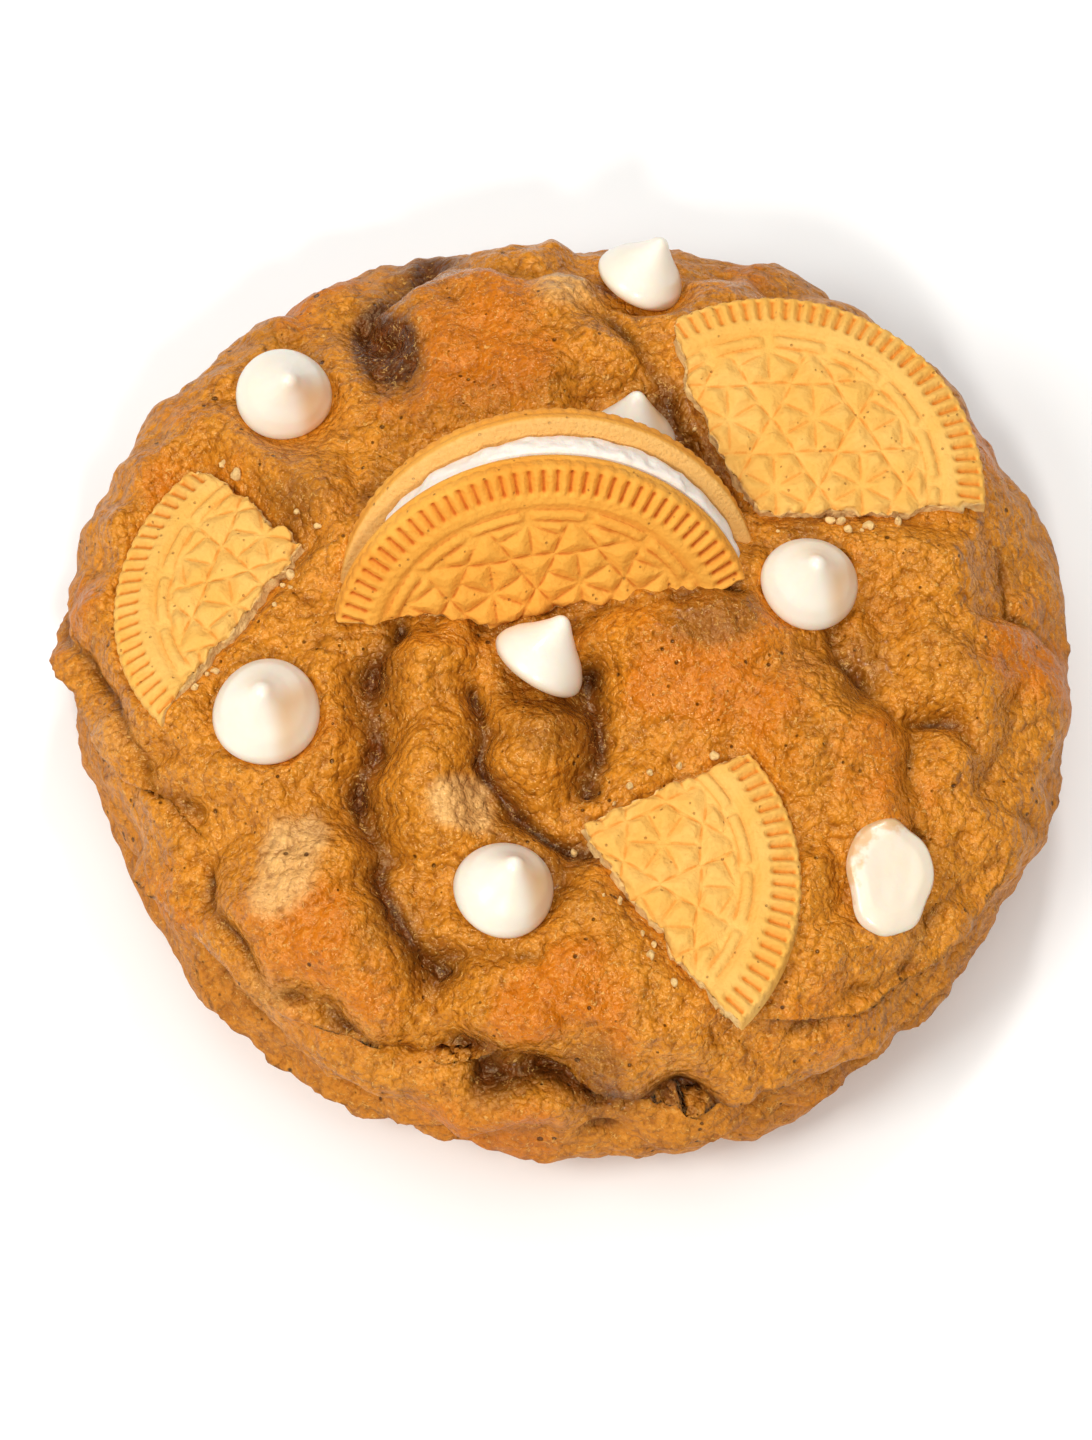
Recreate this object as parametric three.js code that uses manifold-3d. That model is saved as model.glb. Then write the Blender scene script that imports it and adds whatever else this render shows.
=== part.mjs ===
// A large soft-baked cookie: a caramel-coloured dough round with broken pieces of
// sandwich biscuit and white chocolate drops pressed into its top.
// Units are millimetres, +Z is up, -Y faces the viewer, and the origin is at the
// middle of the flat underside.
import * as THREE from 'three';
import { mergeVertices } from 'three/addons/utils/BufferGeometryUtils.js';
import Module from 'manifold-3d';

const wasm = await Module();
wasm.setup();

// Driving dimensions -----------------------------------------------------------------

const COOKIE_RADIUS = 53;
const COOKIE_HEIGHT = 27;
const COOKIE_WAIST = 10.5; // height of the widest level
const COOKIE_OVAL = 0.975; // depth over width
const CROWN_ROUNDNESS = 2.75; // superellipse power above the waist
const FOOT_ROUNDNESS = 3.4; // and below it
const FOOT_SINK = 1.2; // how much of the round foot the flat underside cuts off
const CRUST_DETAIL = 15; // splits along each edge of the starting icosahedron
const UNDERSIDE_SHARE = 0.12; // the flat underside needs few points

const WAFER_RADIUS = 22.5;
const PLATE_THICKNESS = 3.0;
const EMBOSS_HEIGHT = 0.6;
const RIM_TEETH = 64;
const RIM_WIDTH = 3.9;
const TOOTH_DEPTH = 0.25;
const RING_RADIUS = 16.9; // raised ring of bars inside the rim
const RING_WIDTH = 1.5;
const RING_BARS = 10;
const ROSETTE_SPACING = 9.2;
const PETALS = 8;
const PETAL_INNER = 0.5;
const PETAL_OUTER = 4.8;
const PETAL_WIDTH = 2.5;

const CREME_RADIUS = 20.9;
const CREME_THICKNESS = 3.0;
const CREME_RIPPLES = 28;

const DROP_RADIUS = 5.2;
const DROP_HEIGHT = 7.0;

const FIT_GAP = 0.3; // clearance between a topping and what it touches
const SHOWN_EDGE = 1.5; // how much of a flat wafer piece stands clear of the crust
const LIP_SLOPE = 0.9; // how steeply the crust rises away from it
const DROP_SINK = 0.8; // how deep a drop's foot is pressed in
const DROP_LIP_SLOPE = 1.6;
const BED_LEAN = 15; // degrees: the bed of a drop that lies on its side leans no further
const PRESS_REACH = 7; // a topping doesn't press what is further above it

// Where each topping lies ----------------------------------------------------------------

// Single wafer pieces. centre is the middle of the whole round's patterned face, broken
// is the line of the break in the round's own plane, and spin turns the pattern.
const WAFER_PIECES = {
  biscuit_left: {
    centre: [-26.2, 4.8, 27.2], lean: 14, towards: 145, spin: 12, seed: 100,
    broken: [[-17.6, -17.2], [-13.0, -9.8], [-9.5, -5.3], [-5.7, -0.4], [-1.6, 5.4],
      [-5.1, 8.4], [-8.1, 11.7], [-11.6, 15.1], [-16.0, 17.6]],
  },
  biscuit_right: {
    centre: [22.2, 16.0, 27.2], lean: 5, towards: 280, spin: 2, seed: 200,
    broken: [[-10.9, 22.5], [-9.7, 12.5], [-6.3, 5.6], [-3.7, -0.2], [-1.9, -3.0],
      [5.9, -2.5], [13.3, -2.6], [24.5, -1.2]],
  },
  biscuit_front: {
    centre: [1.8, -28.9, 26.2], lean: 3, towards: 200, spin: 26, seed: 300,
    broken: [[19.3, 15.2], [13.7, 12.7], [6.9, 9.5], [-0.1, 6.2], [1.7, 2.8],
      [6.8, -4.5], [10.9, -10.6], [17.4, -17.2]],
  },
};

// The half sandwich stands on its broken edge, leaning back. Its creme and back wafer
// have slipped a little, up and to the right, behind the front wafer.
const SANDWICH = {
  centre: [-2.2, -1.7, 24.0], lean: 58, towards: -84, spin: 9, seed: 400, slip: [0.9, 2.1],
  broken: [[-24.6, 3.9], [-18.6, 3.4], [-15.4, 4.3], [-9.1, 4.0], [-5.9, 2.8], [-2.8, 4.0],
    [3.4, 5.9], [9.7, 6.4], [16.0, 6.7], [23, 9.6]],
};

// White chocolate drops: middle of the base, and which way the tip leans.
const DROPS = {
  drop_back: { centre: [7.7, 43.3, 22.2], lean: 38, towards: 47, size: 0.96 },
  drop_upper_left: { centre: [-30.6, 29.4, 22.6], lean: 14, towards: -53, size: 1.0 },
  drop_behind: { centre: [6.9, 21.8, 26.2], lean: 38, towards: 80, size: 0.92 },
  drop_right: { centre: [25.6, 4.6, 26.6], lean: 6, towards: -45, size: 1.0 },
  drop_centre: { centre: [-3.4, -6.1, 28.6], lean: 52, towards: 48, size: 1.0 },
  drop_left: { centre: [-31.2, -9.9, 25.6], lean: 5, towards: 220, size: 1.12 },
  drop_front: { centre: [-6.6, -30.2, 25.8], lean: 13, towards: 14, size: 1.03 },
};

// One drop had melted and set flat.
const FLAT_DROP = {
  centre: [33.2, -27.2, 22.8], lean: 19, towards: 319, length: 12.6, width: 9.4, height: 2.4,
};

// Leans a piece's axis by an angle towards a bearing, and sets it at its place.
function place(object, { centre, lean, towards }) {
  const bearing = THREE.MathUtils.degToRad(towards);
  const hinge = new THREE.Vector3(-Math.sin(bearing), Math.cos(bearing), 0);
  object.quaternion.setFromAxisAngle(hinge, THREE.MathUtils.degToRad(lean));
  object.position.set(...centre);
  object.updateMatrixWorld(true);
}

// Corners of a broken round out to a radius: its points run along the break from rim to
// rim, and what stays lies counter-clockwise from the last to the first.
function keptCorners(broken, radius, arcSteps) {
  const corners = broken.map(([x, y]) => new THREE.Vector2(x, y));
  const from = corners[corners.length - 1].angle();
  const turn = THREE.MathUtils.euclideanModulo(corners[0].angle() - from, 2 * Math.PI);
  for (let step = 0; step <= arcSteps; step++) {
    const angle = from + turn * step / arcSteps;
    corners.push(new THREE.Vector2(Math.cos(angle), Math.sin(angle)).multiplyScalar(radius));
  }
  return corners;
}

// The plain dough round ---------------------------------------------------------------

// Radius and height of the outline at a latitude, from the crown (90°) to the middle
// of the underside (-90°).
function outlineAt(latitude) {
  const across = Math.max(0, Math.cos(latitude));
  const along = Math.abs(Math.sin(latitude));
  const above = latitude >= 0;
  const power = 2 / (above ? CROWN_ROUNDNESS : FOOT_ROUNDNESS);
  const climb = along ** power;
  return {
    radius: COOKIE_RADIUS * across ** power,
    height: above
      ? COOKIE_WAIST + (COOKIE_HEIGHT - COOKIE_WAIST) * climb
      : Math.max(0, COOKIE_WAIST - (COOKIE_WAIST + FOOT_SINK) * climb),
  };
}

// The outline as a table: how far along the crust each step is from the crown, and
// what share of the crust lies inside it.
const OUTLINE_STEPS = 2000;
const outline = [{ reach: 0, share: 0, ...outlineAt(Math.PI / 2) }];
for (let step = 1; step <= OUTLINE_STEPS; step++) {
  const last = outline[step - 1];
  const next = outlineAt(Math.PI * (0.5 - step / OUTLINE_STEPS));
  const length = Math.hypot(next.radius - last.radius, next.height - last.height);
  const weight = next.height > 0 ? 1 : UNDERSIDE_SHARE;
  next.reach = last.reach + length;
  next.share = last.share + weight * length * (next.radius + last.radius);
  outline.push(next);
}
const wholeShare = outline[OUTLINE_STEPS].share;
outline.forEach((entry) => { entry.share /= wholeShare; });

// Looks a value up in the outline table, and reads another value there.
function lookUp(key, value, wanted) {
  let low = 0;
  let high = OUTLINE_STEPS;
  while (high - low > 1) {
    const middle = (low + high) >> 1;
    if (outline[middle][key] <= value) low = middle;
    else high = middle;
  }
  const span = outline[high][key] - outline[low][key];
  const part = span > 0 ? THREE.MathUtils.clamp((value - outline[low][key]) / span, 0, 1) : 0;
  return outline[low][wanted] + part * (outline[high][wanted] - outline[low][wanted]);
}

// A point of the plain crust, by its bearing round the crown and its reach from it.
function crustPoint(bearing, reach) {
  const radius = lookUp('reach', reach, 'radius');
  const x = radius * Math.cos(bearing);
  const y = radius * COOKIE_OVAL * Math.sin(bearing);
  return new THREE.Vector3(x, y, lookUp('reach', reach, 'height'));
}

function crustNormal(bearing, reach) {
  const step = 0.4;
  const run = lookUp('reach', reach + step, 'radius') - lookUp('reach', reach - step, 'radius');
  const fall = lookUp('reach', reach - step, 'height') - lookUp('reach', reach + step, 'height');
  const out = new THREE.Vector3(fall * Math.cos(bearing), fall * Math.sin(bearing) / COOKIE_OVAL, run);
  return out.normalize();
}

// Relief of the dough ------------------------------------------------------------------

// Rounded swellings of the crust. Each follows the points of its line, given as
// bearing in degrees (0 is right, 90 is away from the viewer) and reach in mm.
const SWELLINGS = {
  backMound: { line: [[110, 43], [100, 41], [91, 35]], half: 9.5, rise: 3.6 },
  backMoundFoot: { line: [[112, 32], [98, 27]], half: 6.5, rise: 1.8 },
  backPaleLump: { line: [[89, 42]], half: 5, rise: 1.6 },
  backRim: { line: [[107, 54], [93, 50]], half: 3.6, rise: 1.8 },
  backLeftLump: { line: [[120, 54]], half: 7, rise: 1.0 },
  backRightShoulder: { line: [[66, 37], [46, 38], [24, 41]], half: 14, rise: 3.6 },
  upperLeftLump: { line: [[149, 33], [156, 27]], half: 5.8, rise: 2.2 },
  upperLeftRim: { line: [[152, 53], [129, 55]], half: 4.8, rise: 1.6 },
  leftShoulder: { line: [[150, 44], [168, 44], [188, 45]], half: 9, rise: 2.6 },
  leftRim: { line: [[175, 57]], half: 8, rise: 2.3 },
  leftLump: { line: [[202, 40]], half: 6.5, rise: 1.9 },
  leftMiddle: { line: [[195, 28], [214, 35]], half: 5.5, rise: 1.6 },
  sandwichBed: { line: [[186, 19], [182, 8], [10, 8], [6, 19]], half: 8, rise: 1.9 },
  longRidge: { line: [[200, 15], [224, 19], [237, 27]], half: 5.6, rise: 2.8 },
  centreKnob: { line: [[255, 14.5]], half: 7.8, rise: 3.8 },
  smoothMound: { line: [[351, 11], [341, 19], [337, 25]], half: 10.5, rise: 3.0 },
  lowerLeftMound: { line: [[228, 43], [238, 43]], half: 11, rise: 4.0 },
  lowerMiddleMound: { line: [[269, 38], [279, 37]], half: 8.5, rise: 2.8 },
  lowerSmallLump: { line: [[257, 43]], half: 4.6, rise: 1.8 },
  frontLip: { line: [[261, 45], [274, 47], [285, 49]], half: 4.1, rise: 1.7 },
  footLump: { line: [[269, 54]], half: 4.4, rise: 1.6 },
  leftFootRoll: { line: [[242, 56], [262, 54]], half: 4, rise: 1.6 },
  frontShoulder: { line: [[288, 43], [302, 40]], half: 8.5, rise: 2.6 },
  lowerRightLip: { line: [[300, 49], [321, 51]], half: 4.6, rise: 1.8 },
  rightHill: { line: [[331, 35]], half: 8.4, rise: 2.7 },
  rightRidgeInner: { line: [[14, 40], [353, 40]], half: 4.3, rise: 2.0 },
  rightRidgeOuter: { line: [[1, 45], [342, 44]], half: 4.6, rise: 1.9 },
  rightRimUpper: { line: [[355, 52]], half: 7, rise: 0.7 },
  rightRimLower: { line: [[337, 53]], half: 6.5, rise: 1.9 },
};

// Creases and folds between them, in the same terms.
const CREASES = {
  hollow: { line: [[110, 50], [115, 45], [120, 42]], half: 1.5, depth: 3.6 },
  backValley: { line: [[83, 39], [64, 28], [32, 22]], half: 1.8, depth: 1.8 },
  backCrease: { line: [[111, 54], [96, 45], [88, 45]], half: 1, depth: 1.6 },
  leftValley: { line: [[181, 18], [203, 22], [227, 31], [236, 35], [251, 42]], half: 1.6, depth: 3.0 },
  knobLeft: { line: [[222, 13], [241, 19], [265, 24], [274, 27]], half: 1.3, depth: 2.8 },
  knobRight: { line: [[294, 7], [280, 14], [279, 20]], half: 1.6, depth: 3.2 },
  lowerCrease: { line: [[247, 41], [264, 37]], half: 1.1, depth: 1.8 },
  moundEdge: { line: [[216, 47], [232, 50], [251, 49]], half: 1.2, depth: 2.2 },
  lipFoldLeft: { line: [[251, 50], [263, 47], [270, 49], [281, 53]], half: 1.2, depth: 2.8 },
  lipFoldRight: { line: [[281, 53], [293, 56], [304, 58], [320, 60]], half: 1.2, depth: 2.6 },
  footFoldLeft: { line: [[212, 53], [227, 56], [242, 60], [276, 59]], half: 1, depth: 2.0 },
  footFoldRight: { line: [[278, 55], [307, 56]], half: 1, depth: 1.5 },
  leftFold: { line: [[174, 57], [188, 50], [208, 44]], half: 1.1, depth: 2.1 },
  rightValley: { line: [[357, 28], [345, 36], [346, 42]], half: 1.2, depth: 2.2 },
  hillEdge: { line: [[344, 38], [325, 45]], half: 1.2, depth: 1.7 },
  rightRimFold: { line: [[28, 54], [6, 48], [3, 55]], half: 1.1, depth: 1.6 },
  rightNotch: { line: [[344, 43], [338, 54]], half: 1.1, depth: 1.5 },
  lowerRightFold: { line: [[334, 52], [320, 51], [299, 51]], half: 1, depth: 1.5 },
};

// Where the rim swells out or draws in: bearing and width in degrees, height in mm.
const RIM_LOBES = [
  { bearing: 15, width: 10, rise: 0.6 },
  { bearing: 40, width: 25, rise: 2.0 },
  { bearing: 68, width: 12, rise: 1.1 },
  { bearing: 109, width: 7, rise: 2.2 },
  { bearing: 135, width: 30, rise: 0.8 },
  { bearing: 160, width: 5, rise: 1.8 },
  { bearing: 205, width: 14, rise: -3.2 },
  { bearing: 235, width: 25, rise: -1.1 },
  { bearing: 285, width: 30, rise: 0.8 },
];

const PUFFS = 120; // small soft puffs all over the crust
const PUFF_HEIGHT = 0.9;
const PUFF_EDGE = 6;
const GOLDEN_ANGLE = Math.PI * (3 - Math.sqrt(5));

// A repeatable number from 0 to 1 for each index and purpose.
function chance(index, purpose) {
  const value = Math.sin(index * 12.9898 + purpose * 78.233) * 43758.5453;
  return value - Math.floor(value);
}

// Moves a point a little, so that swellings and creases wander as in real dough.
function wander(point, rate, amount, phase) {
  const { x, y, z } = point;
  const dx = Math.sin(y * rate + z * rate * 0.7 + 1.3 + phase)
    + 0.5 * Math.sin(x * rate * 1.9 + phase * 2 + 0.4);
  const dy = Math.sin(x * rate * 1.1 - z * rate * 0.5 + 2.1 + phase)
    + 0.5 * Math.sin(y * rate * 2.1 + 3.3 + phase);
  const dz = Math.sin((x + y) * rate * 0.9 + phase + 0.2);
  return new THREE.Vector3(x + amount * dx, y + amount * dy, z + amount * dz);
}

const toPoint = ([degrees, reach]) => crustPoint(THREE.MathUtils.degToRad(degrees), reach);

// A feature's line on the crust, as the straight stretches between its points.
function stretches({ line }) {
  const points = line.map(toPoint);
  if (points.length === 1) points.push(points[0].clone().addScalar(0.01));
  return points.slice(1).map((end, index) => new THREE.Line3(points[index], end));
}

const swellings = Object.values(SWELLINGS).map((feature) => ({ ...feature, parts: stretches(feature) }));
const creases = Object.values(CREASES).map((feature) => ({ ...feature, parts: stretches(feature) }));

const nearest = new THREE.Vector3();
function distanceTo(parts, point) {
  const distances = parts.map((part) => {
    part.closestPointToPoint(point, true, nearest);
    return nearest.distanceTo(point);
  });
  return Math.min(...distances);
}

// Middles of the small puffs, set round the crown by the golden angle.
const puffs = [];
for (let index = 0; index < PUFFS; index++) {
  const reach = lookUp('share', 0.02 + 0.88 * (index + 0.5) / PUFFS, 'reach');
  const jitter = 1.2 * (chance(index, 3) - 0.5) * Math.min(1, 9 / Math.max(reach, 1));
  const middle = crustPoint(index * GOLDEN_ANGLE + jitter, Math.max(0, reach + 5 * (chance(index, 4) - 0.5)));
  puffs.push({ middle, size: chance(index, 5) });
}

// Height of the puff that a point lies on, falling to nothing where two puffs meet.
function puffHeight(point) {
  let first = { away: Infinity, size: 0 };
  let second = Infinity;
  for (const { middle, size } of puffs) {
    const away = middle.distanceTo(point);
    if (away < first.away) {
      second = first.away;
      first = { away, size };
    } else if (away < second) {
      second = away;
    }
  }
  const inside = Math.min(1, (second - first.away) / PUFF_EDGE);
  return PUFF_HEIGHT * ((0.3 + 1.1 * first.size) * inside ** 0.8 - 0.4);
}

// How far the crust stands out of the plain round at a point.
function reliefAt(point, normal, bearing) {
  const moved = wander(point, 0.45, 0.7, 0.5);
  let out = puffHeight(wander(point, 0.32, 1.5, 0));
  for (const { parts, half, rise } of swellings) {
    const away = distanceTo(parts, moved) / half;
    out += rise * Math.max(0, 1 - away * away) ** 1.1;
  }
  for (const { parts, half, depth } of creases) {
    const away = distanceTo(parts, moved) / half;
    out -= depth * (0.5 * Math.exp(-((away / 2.4) ** 1.6)) + 0.6 * Math.exp(-((away / 0.9) ** 1.2)));
  }
  for (const lobe of RIM_LOBES) {
    const apart = THREE.MathUtils.euclideanModulo(
      THREE.MathUtils.radToDeg(bearing) - lobe.bearing + 180, 360) - 180;
    const side = Math.min(1, 1.3 * (1 - normal.z * normal.z));
    out += lobe.rise * Math.exp(-((apart / lobe.width) ** 2)) * side;
  }
  return out * THREE.MathUtils.clamp((normal.z + 0.9) / 0.5, 0, 1);
}

// How far a point of a round's plane is outside the part of it that was kept.
function distanceOutside(corners, x, y) {
  let inside = false;
  let nearestEdge = Infinity;
  corners.forEach((start, index) => {
    const end = corners[(index + 1) % corners.length];
    const run = end.clone().sub(start);
    const crosses = (start.y > y) !== (end.y > y);
    if (crosses && x < start.x + run.x * (y - start.y) / run.y) inside = !inside;
    const way = ((x - start.x) * run.x + (y - start.y) * run.y) / Math.max(1e-9, run.lengthSq());
    const near = start.clone().addScaledVector(run, THREE.MathUtils.clamp(way, 0, 1));
    nearestEdge = Math.min(nearestEdge, Math.hypot(x - near.x, y - near.y));
  });
  return inside ? 0 : nearestEdge;
}

const beds = Object.values(WAFER_PIECES).map((piece) => {
  const holder = new THREE.Object3D();
  place(holder, piece);
  return { holder, corners: keptCorners(piece.broken.slice(1, -1), WAFER_RADIUS, 12) };
});
const dropBeds = Object.values(DROPS).map((drop) => {
  const holder = new THREE.Object3D();
  place(holder, { ...drop, lean: Math.min(drop.lean, BED_LEAN) });
  return { holder, radius: DROP_RADIUS * drop.size };
});

// Moves a point down to a limit along a topping's axis, unless it is far above it.
function pressTo(point, holder, limitAt) {
  const local = holder.worldToLocal(point.clone());
  const limit = limitAt(local);
  if (local.z > limit && local.z < limit + PRESS_REACH) {
    local.z = limit;
    point.copy(holder.localToWorld(local));
  }
}

// Presses the crust down round the flat wafer pieces and drops, so that their edges show.
function settle(point) {
  for (const { holder, corners } of beds) {
    pressTo(point, holder, ({ x, y }) => LIP_SLOPE * distanceOutside(corners, x, y) - SHOWN_EDGE);
  }
  for (const { holder, radius } of dropBeds) {
    pressTo(point, holder, ({ x, y }) => {
      const outside = Math.max(0, Math.hypot(x, y) - radius);
      return DROP_SINK + DROP_LIP_SLOPE * outside;
    });
  }
}

// Solids -------------------------------------------------------------------------------

function toSolid(geometry) {
  const bare = geometry.clone();
  bare.deleteAttribute('normal');
  bare.deleteAttribute('uv');
  const merged = mergeVertices(bare, 1e-4);
  return new wasm.Manifold(new wasm.Mesh({
    numProp: 3,
    vertProperties: new Float32Array(merged.attributes.position.array),
    triVerts: new Uint32Array(merged.index.array),
  }));
}

// The largest of the bodies that cutting leaves, without the loose scraps.
function withoutScraps(solid) {
  const bodies = solid.decompose();
  return bodies.reduce((best, body) => (body.volume() > best.volume() ? body : best));
}

function toGeometry(solid) {
  const mesh = solid.getMesh();
  const geometry = new THREE.BufferGeometry();
  geometry.setAttribute('position', new THREE.BufferAttribute(mesh.vertProperties, 3));
  geometry.setIndex(new THREE.BufferAttribute(mesh.triVerts, 1));
  geometry.computeVertexNormals();
  return geometry;
}

// The whole dough round before any topping is pressed in.
function makeDoughRound() {
  const geometry = new THREE.IcosahedronGeometry(1, CRUST_DETAIL);
  const position = geometry.attributes.position;
  const direction = new THREE.Vector3();
  for (let index = 0; index < position.count; index++) {
    direction.fromBufferAttribute(position, index).normalize();
    const bearing = Math.atan2(direction.y, direction.x);
    const reach = lookUp('share', (1 - direction.z) / 2, 'reach');
    const point = crustPoint(bearing, reach);
    const onUnderside = point.z < 0.02;
    const normal = crustNormal(bearing, reach);
    point.addScaledVector(normal, reliefAt(point, normal, bearing));
    settle(point);
    position.setXYZ(index, point.x, point.y, onUnderside ? 0 : Math.max(0, point.z));
  }
  return toSolid(geometry);
}

// Biscuit wafers -----------------------------------------------------------------------

// Adds small ragged steps to the line of a break, one every two millimetres or so.
function ragged(broken, seed) {
  const points = [];
  for (let index = 1; index < broken.length; index++) {
    const [x, y] = broken[index - 1];
    const across = broken[index][0] - x;
    const along = broken[index][1] - y;
    const length = Math.hypot(across, along);
    const steps = Math.max(1, Math.round(length / 1.8));
    for (let step = 0; step < steps; step++) {
      const part = step / steps;
      const sway = step > 0 ? 0.6 * (chance(seed + index * 17 + step, 9) - 0.5) / length : 0;
      points.push([x + across * part + along * sway, y + along * part - across * sway]);
    }
  }
  points.push(broken[broken.length - 1]);
  return points;
}

const BEYOND_RIM = WAFER_RADIUS + 6;

function extruded(shape, bottom, top) {
  const depth = top - bottom;
  const geometry = new THREE.ExtrudeGeometry(shape, { depth, bevelEnabled: false, curveSegments: 3 });
  geometry.translate(0, 0, bottom);
  return toSolid(geometry);
}

// The plate of a wafer, its top at height 0.
function makePlate() {
  const radius = WAFER_RADIUS - TOOTH_DEPTH;
  const plate = new THREE.CylinderGeometry(radius, radius, PLATE_THICKNESS, RIM_TEETH);
  plate.rotateX(Math.PI / 2);
  plate.translate(0, 0, -PLATE_THICKNESS / 2);
  return toSolid(plate);
}

// One roof-backed ridge of the rim, lying along a spoke, its end a tooth of the edge.
function makeRidge(tooth) {
  const ridge = new THREE.CylinderGeometry(EMBOSS_HEIGHT, EMBOSS_HEIGHT, RIM_WIDTH, 4);
  ridge.rotateZ(-Math.PI / 2);
  ridge.translate(WAFER_RADIUS - RIM_WIDTH / 2, 0, 0);
  ridge.rotateZ(2 * Math.PI * (tooth + 0.5) / RIM_TEETH);
  return toSolid(ridge);
}

// One curved bar of the raised ring.
function makeRingBar(index) {
  const pitch = 2 * Math.PI / RING_BARS;
  const start = (index + 0.1) * pitch;
  const end = (index + 0.9) * pitch;
  const bar = new THREE.Shape();
  bar.absarc(0, 0, RING_RADIUS + RING_WIDTH / 2, start, end, false);
  bar.absarc(0, 0, RING_RADIUS - RING_WIDTH / 2, end, start, true);
  return extruded(bar, -0.5, EMBOSS_HEIGHT * 0.75);
}

// One petal: a low kite-shaped pyramid that is widest towards its outer end.
function makePetal(middle, angle) {
  const length = PETAL_OUTER - PETAL_INNER;
  const petal = new THREE.ConeGeometry(1, EMBOSS_HEIGHT + 0.3, 4);
  petal.rotateX(Math.PI / 2);
  petal.rotateZ(Math.PI / 2);
  petal.scale(length / 2, PETAL_WIDTH / 2, 1);
  const position = petal.attributes.position;
  for (let index = 0; index < position.count; index++) {
    const inMiddle = Math.abs(position.getX(index)) < length / 4;
    if (inMiddle) position.setX(index, position.getX(index) + length * 0.12);
  }
  petal.translate(PETAL_INNER + length / 2, 0, (EMBOSS_HEIGHT + 0.3) / 2 - 0.3);
  petal.rotateZ(angle);
  petal.translate(middle.x, middle.y, 0);
  return toSolid(petal);
}

// A whole wafer: plate, ridged rim, ring of bars, and one rosette ringed by six.
function makeWafer() {
  const parts = [makePlate()];
  for (let tooth = 0; tooth < RIM_TEETH; tooth++) parts.push(makeRidge(tooth));
  for (let index = 0; index < RING_BARS; index++) parts.push(makeRingBar(index));
  const middles = [new THREE.Vector2(0, 0)];
  for (let index = 0; index < 6; index++) {
    const angle = index * Math.PI / 3;
    middles.push(new THREE.Vector2(Math.cos(angle), Math.sin(angle)).multiplyScalar(ROSETTE_SPACING));
  }
  for (const middle of middles) {
    for (let index = 0; index < PETALS; index++) {
      parts.push(makePetal(middle, 2 * Math.PI * (index + 0.5) / PETALS));
    }
  }
  return wasm.Manifold.union(parts);
}

const wholeWafer = makeWafer();
const waferTop = EMBOSS_HEIGHT;
const waferBottom = -PLATE_THICKNESS;

// The shape that a break leaves, out past the rim.
function keptShape(broken) {
  return new THREE.Shape(keptCorners(broken, BEYOND_RIM, 12));
}

// A wafer turned by its spin and broken along a line, in its own frame.
function breakWafer(broken, spin, seed) {
  const kept = extruded(keptShape(ragged(broken, seed)), waferBottom - 1, waferTop + 1);
  return wholeWafer.rotate([0, 0, spin]).intersect(kept);
}

// The room that a broken round needs in the dough, a little larger all round.
function roomFor(broken, radius, bottom, top, middle = [0, 0]) {
  const roomy = radius + FIT_GAP;
  const round = new THREE.CylinderGeometry(roomy, roomy, top - bottom + 2 * FIT_GAP, 32);
  round.rotateX(Math.PI / 2);
  round.translate(middle[0], middle[1], (top + bottom) / 2);
  const first = new THREE.Vector2(...broken[0]);
  const last = new THREE.Vector2(...broken[broken.length - 1]);
  const inward = last.clone().sub(first).rotateAround(new THREE.Vector2(), Math.PI / 2).normalize();
  const eased = broken.map(([x, y]) => [x - inward.x * 0.75, y - inward.y * 0.75]);
  const kept = extruded(keptShape(eased), bottom - 1, top + 1);
  return toSolid(round).intersect(kept);
}

function makeDrop(size, grow) {
  const profile = [
    [0, 0], [0.9, 0], [1, 0.1], [0.95, 0.25], [0.77, 0.44],
    [0.51, 0.62], [0.29, 0.8], [0.14, 0.95], [0, 1],
  ].map(([radius, height]) => new THREE.Vector2(
    radius * (DROP_RADIUS * size + grow),
    height * (DROP_HEIGHT * size + 2 * grow) - grow,
  ));
  return new THREE.LatheGeometry(profile, 11).rotateX(Math.PI / 2);
}

function makeFlatDrop(grow) {
  const { length, width, height } = FLAT_DROP;
  const profile = [[0, 0], [0.85, 0], [1, 0.4], [0.92, 0.78], [0.66, 1], [0, 0.92]]
    .map(([radius, level]) => new THREE.Vector2(radius, level * (height + 2 * grow) - grow));
  const geometry = new THREE.LatheGeometry(profile, 16).rotateX(Math.PI / 2);
  const position = geometry.attributes.position;
  for (let index = 0; index < position.count; index++) {
    const x = position.getX(index);
    const y = position.getY(index);
    const angle = Math.atan2(y, x);
    const uneven = 1 + 0.05 * Math.sin(3 * angle + 1) + 0.03 * Math.sin(5 * angle);
    position.setX(index, x * uneven * (width / 2 + grow));
    position.setY(index, y * uneven * (length / 2 + grow));
  }
  return geometry;
}

// Materials ------------------------------------------------------------------------------

const baked = (color, roughness) => new THREE.MeshStandardMaterial({ color, roughness, metalness: 0 });
const caramelCrust = baked('#b26a1e', 0.5);
const goldenBiscuit = baked('#eab458', 0.7);
const whiteCreme = baked('#f6f1e6', 0.55);
const whiteChocolate = baked('#f5efe0', 0.35);

// Assembly -------------------------------------------------------------------------------

const cookie = new THREE.Group();
let dough = makeDoughRound();

// Adds a named topping, and presses its room out of the dough.
function press(parent, name, geometry, room, material) {
  const mesh = new THREE.Mesh(geometry, material);
  mesh.name = name;
  parent.add(mesh);
  parent.updateMatrixWorld(true);
  const spare = toGeometry(room);
  spare.applyMatrix4(mesh.matrixWorld);
  dough = dough.subtract(toSolid(spare));
}

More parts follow.
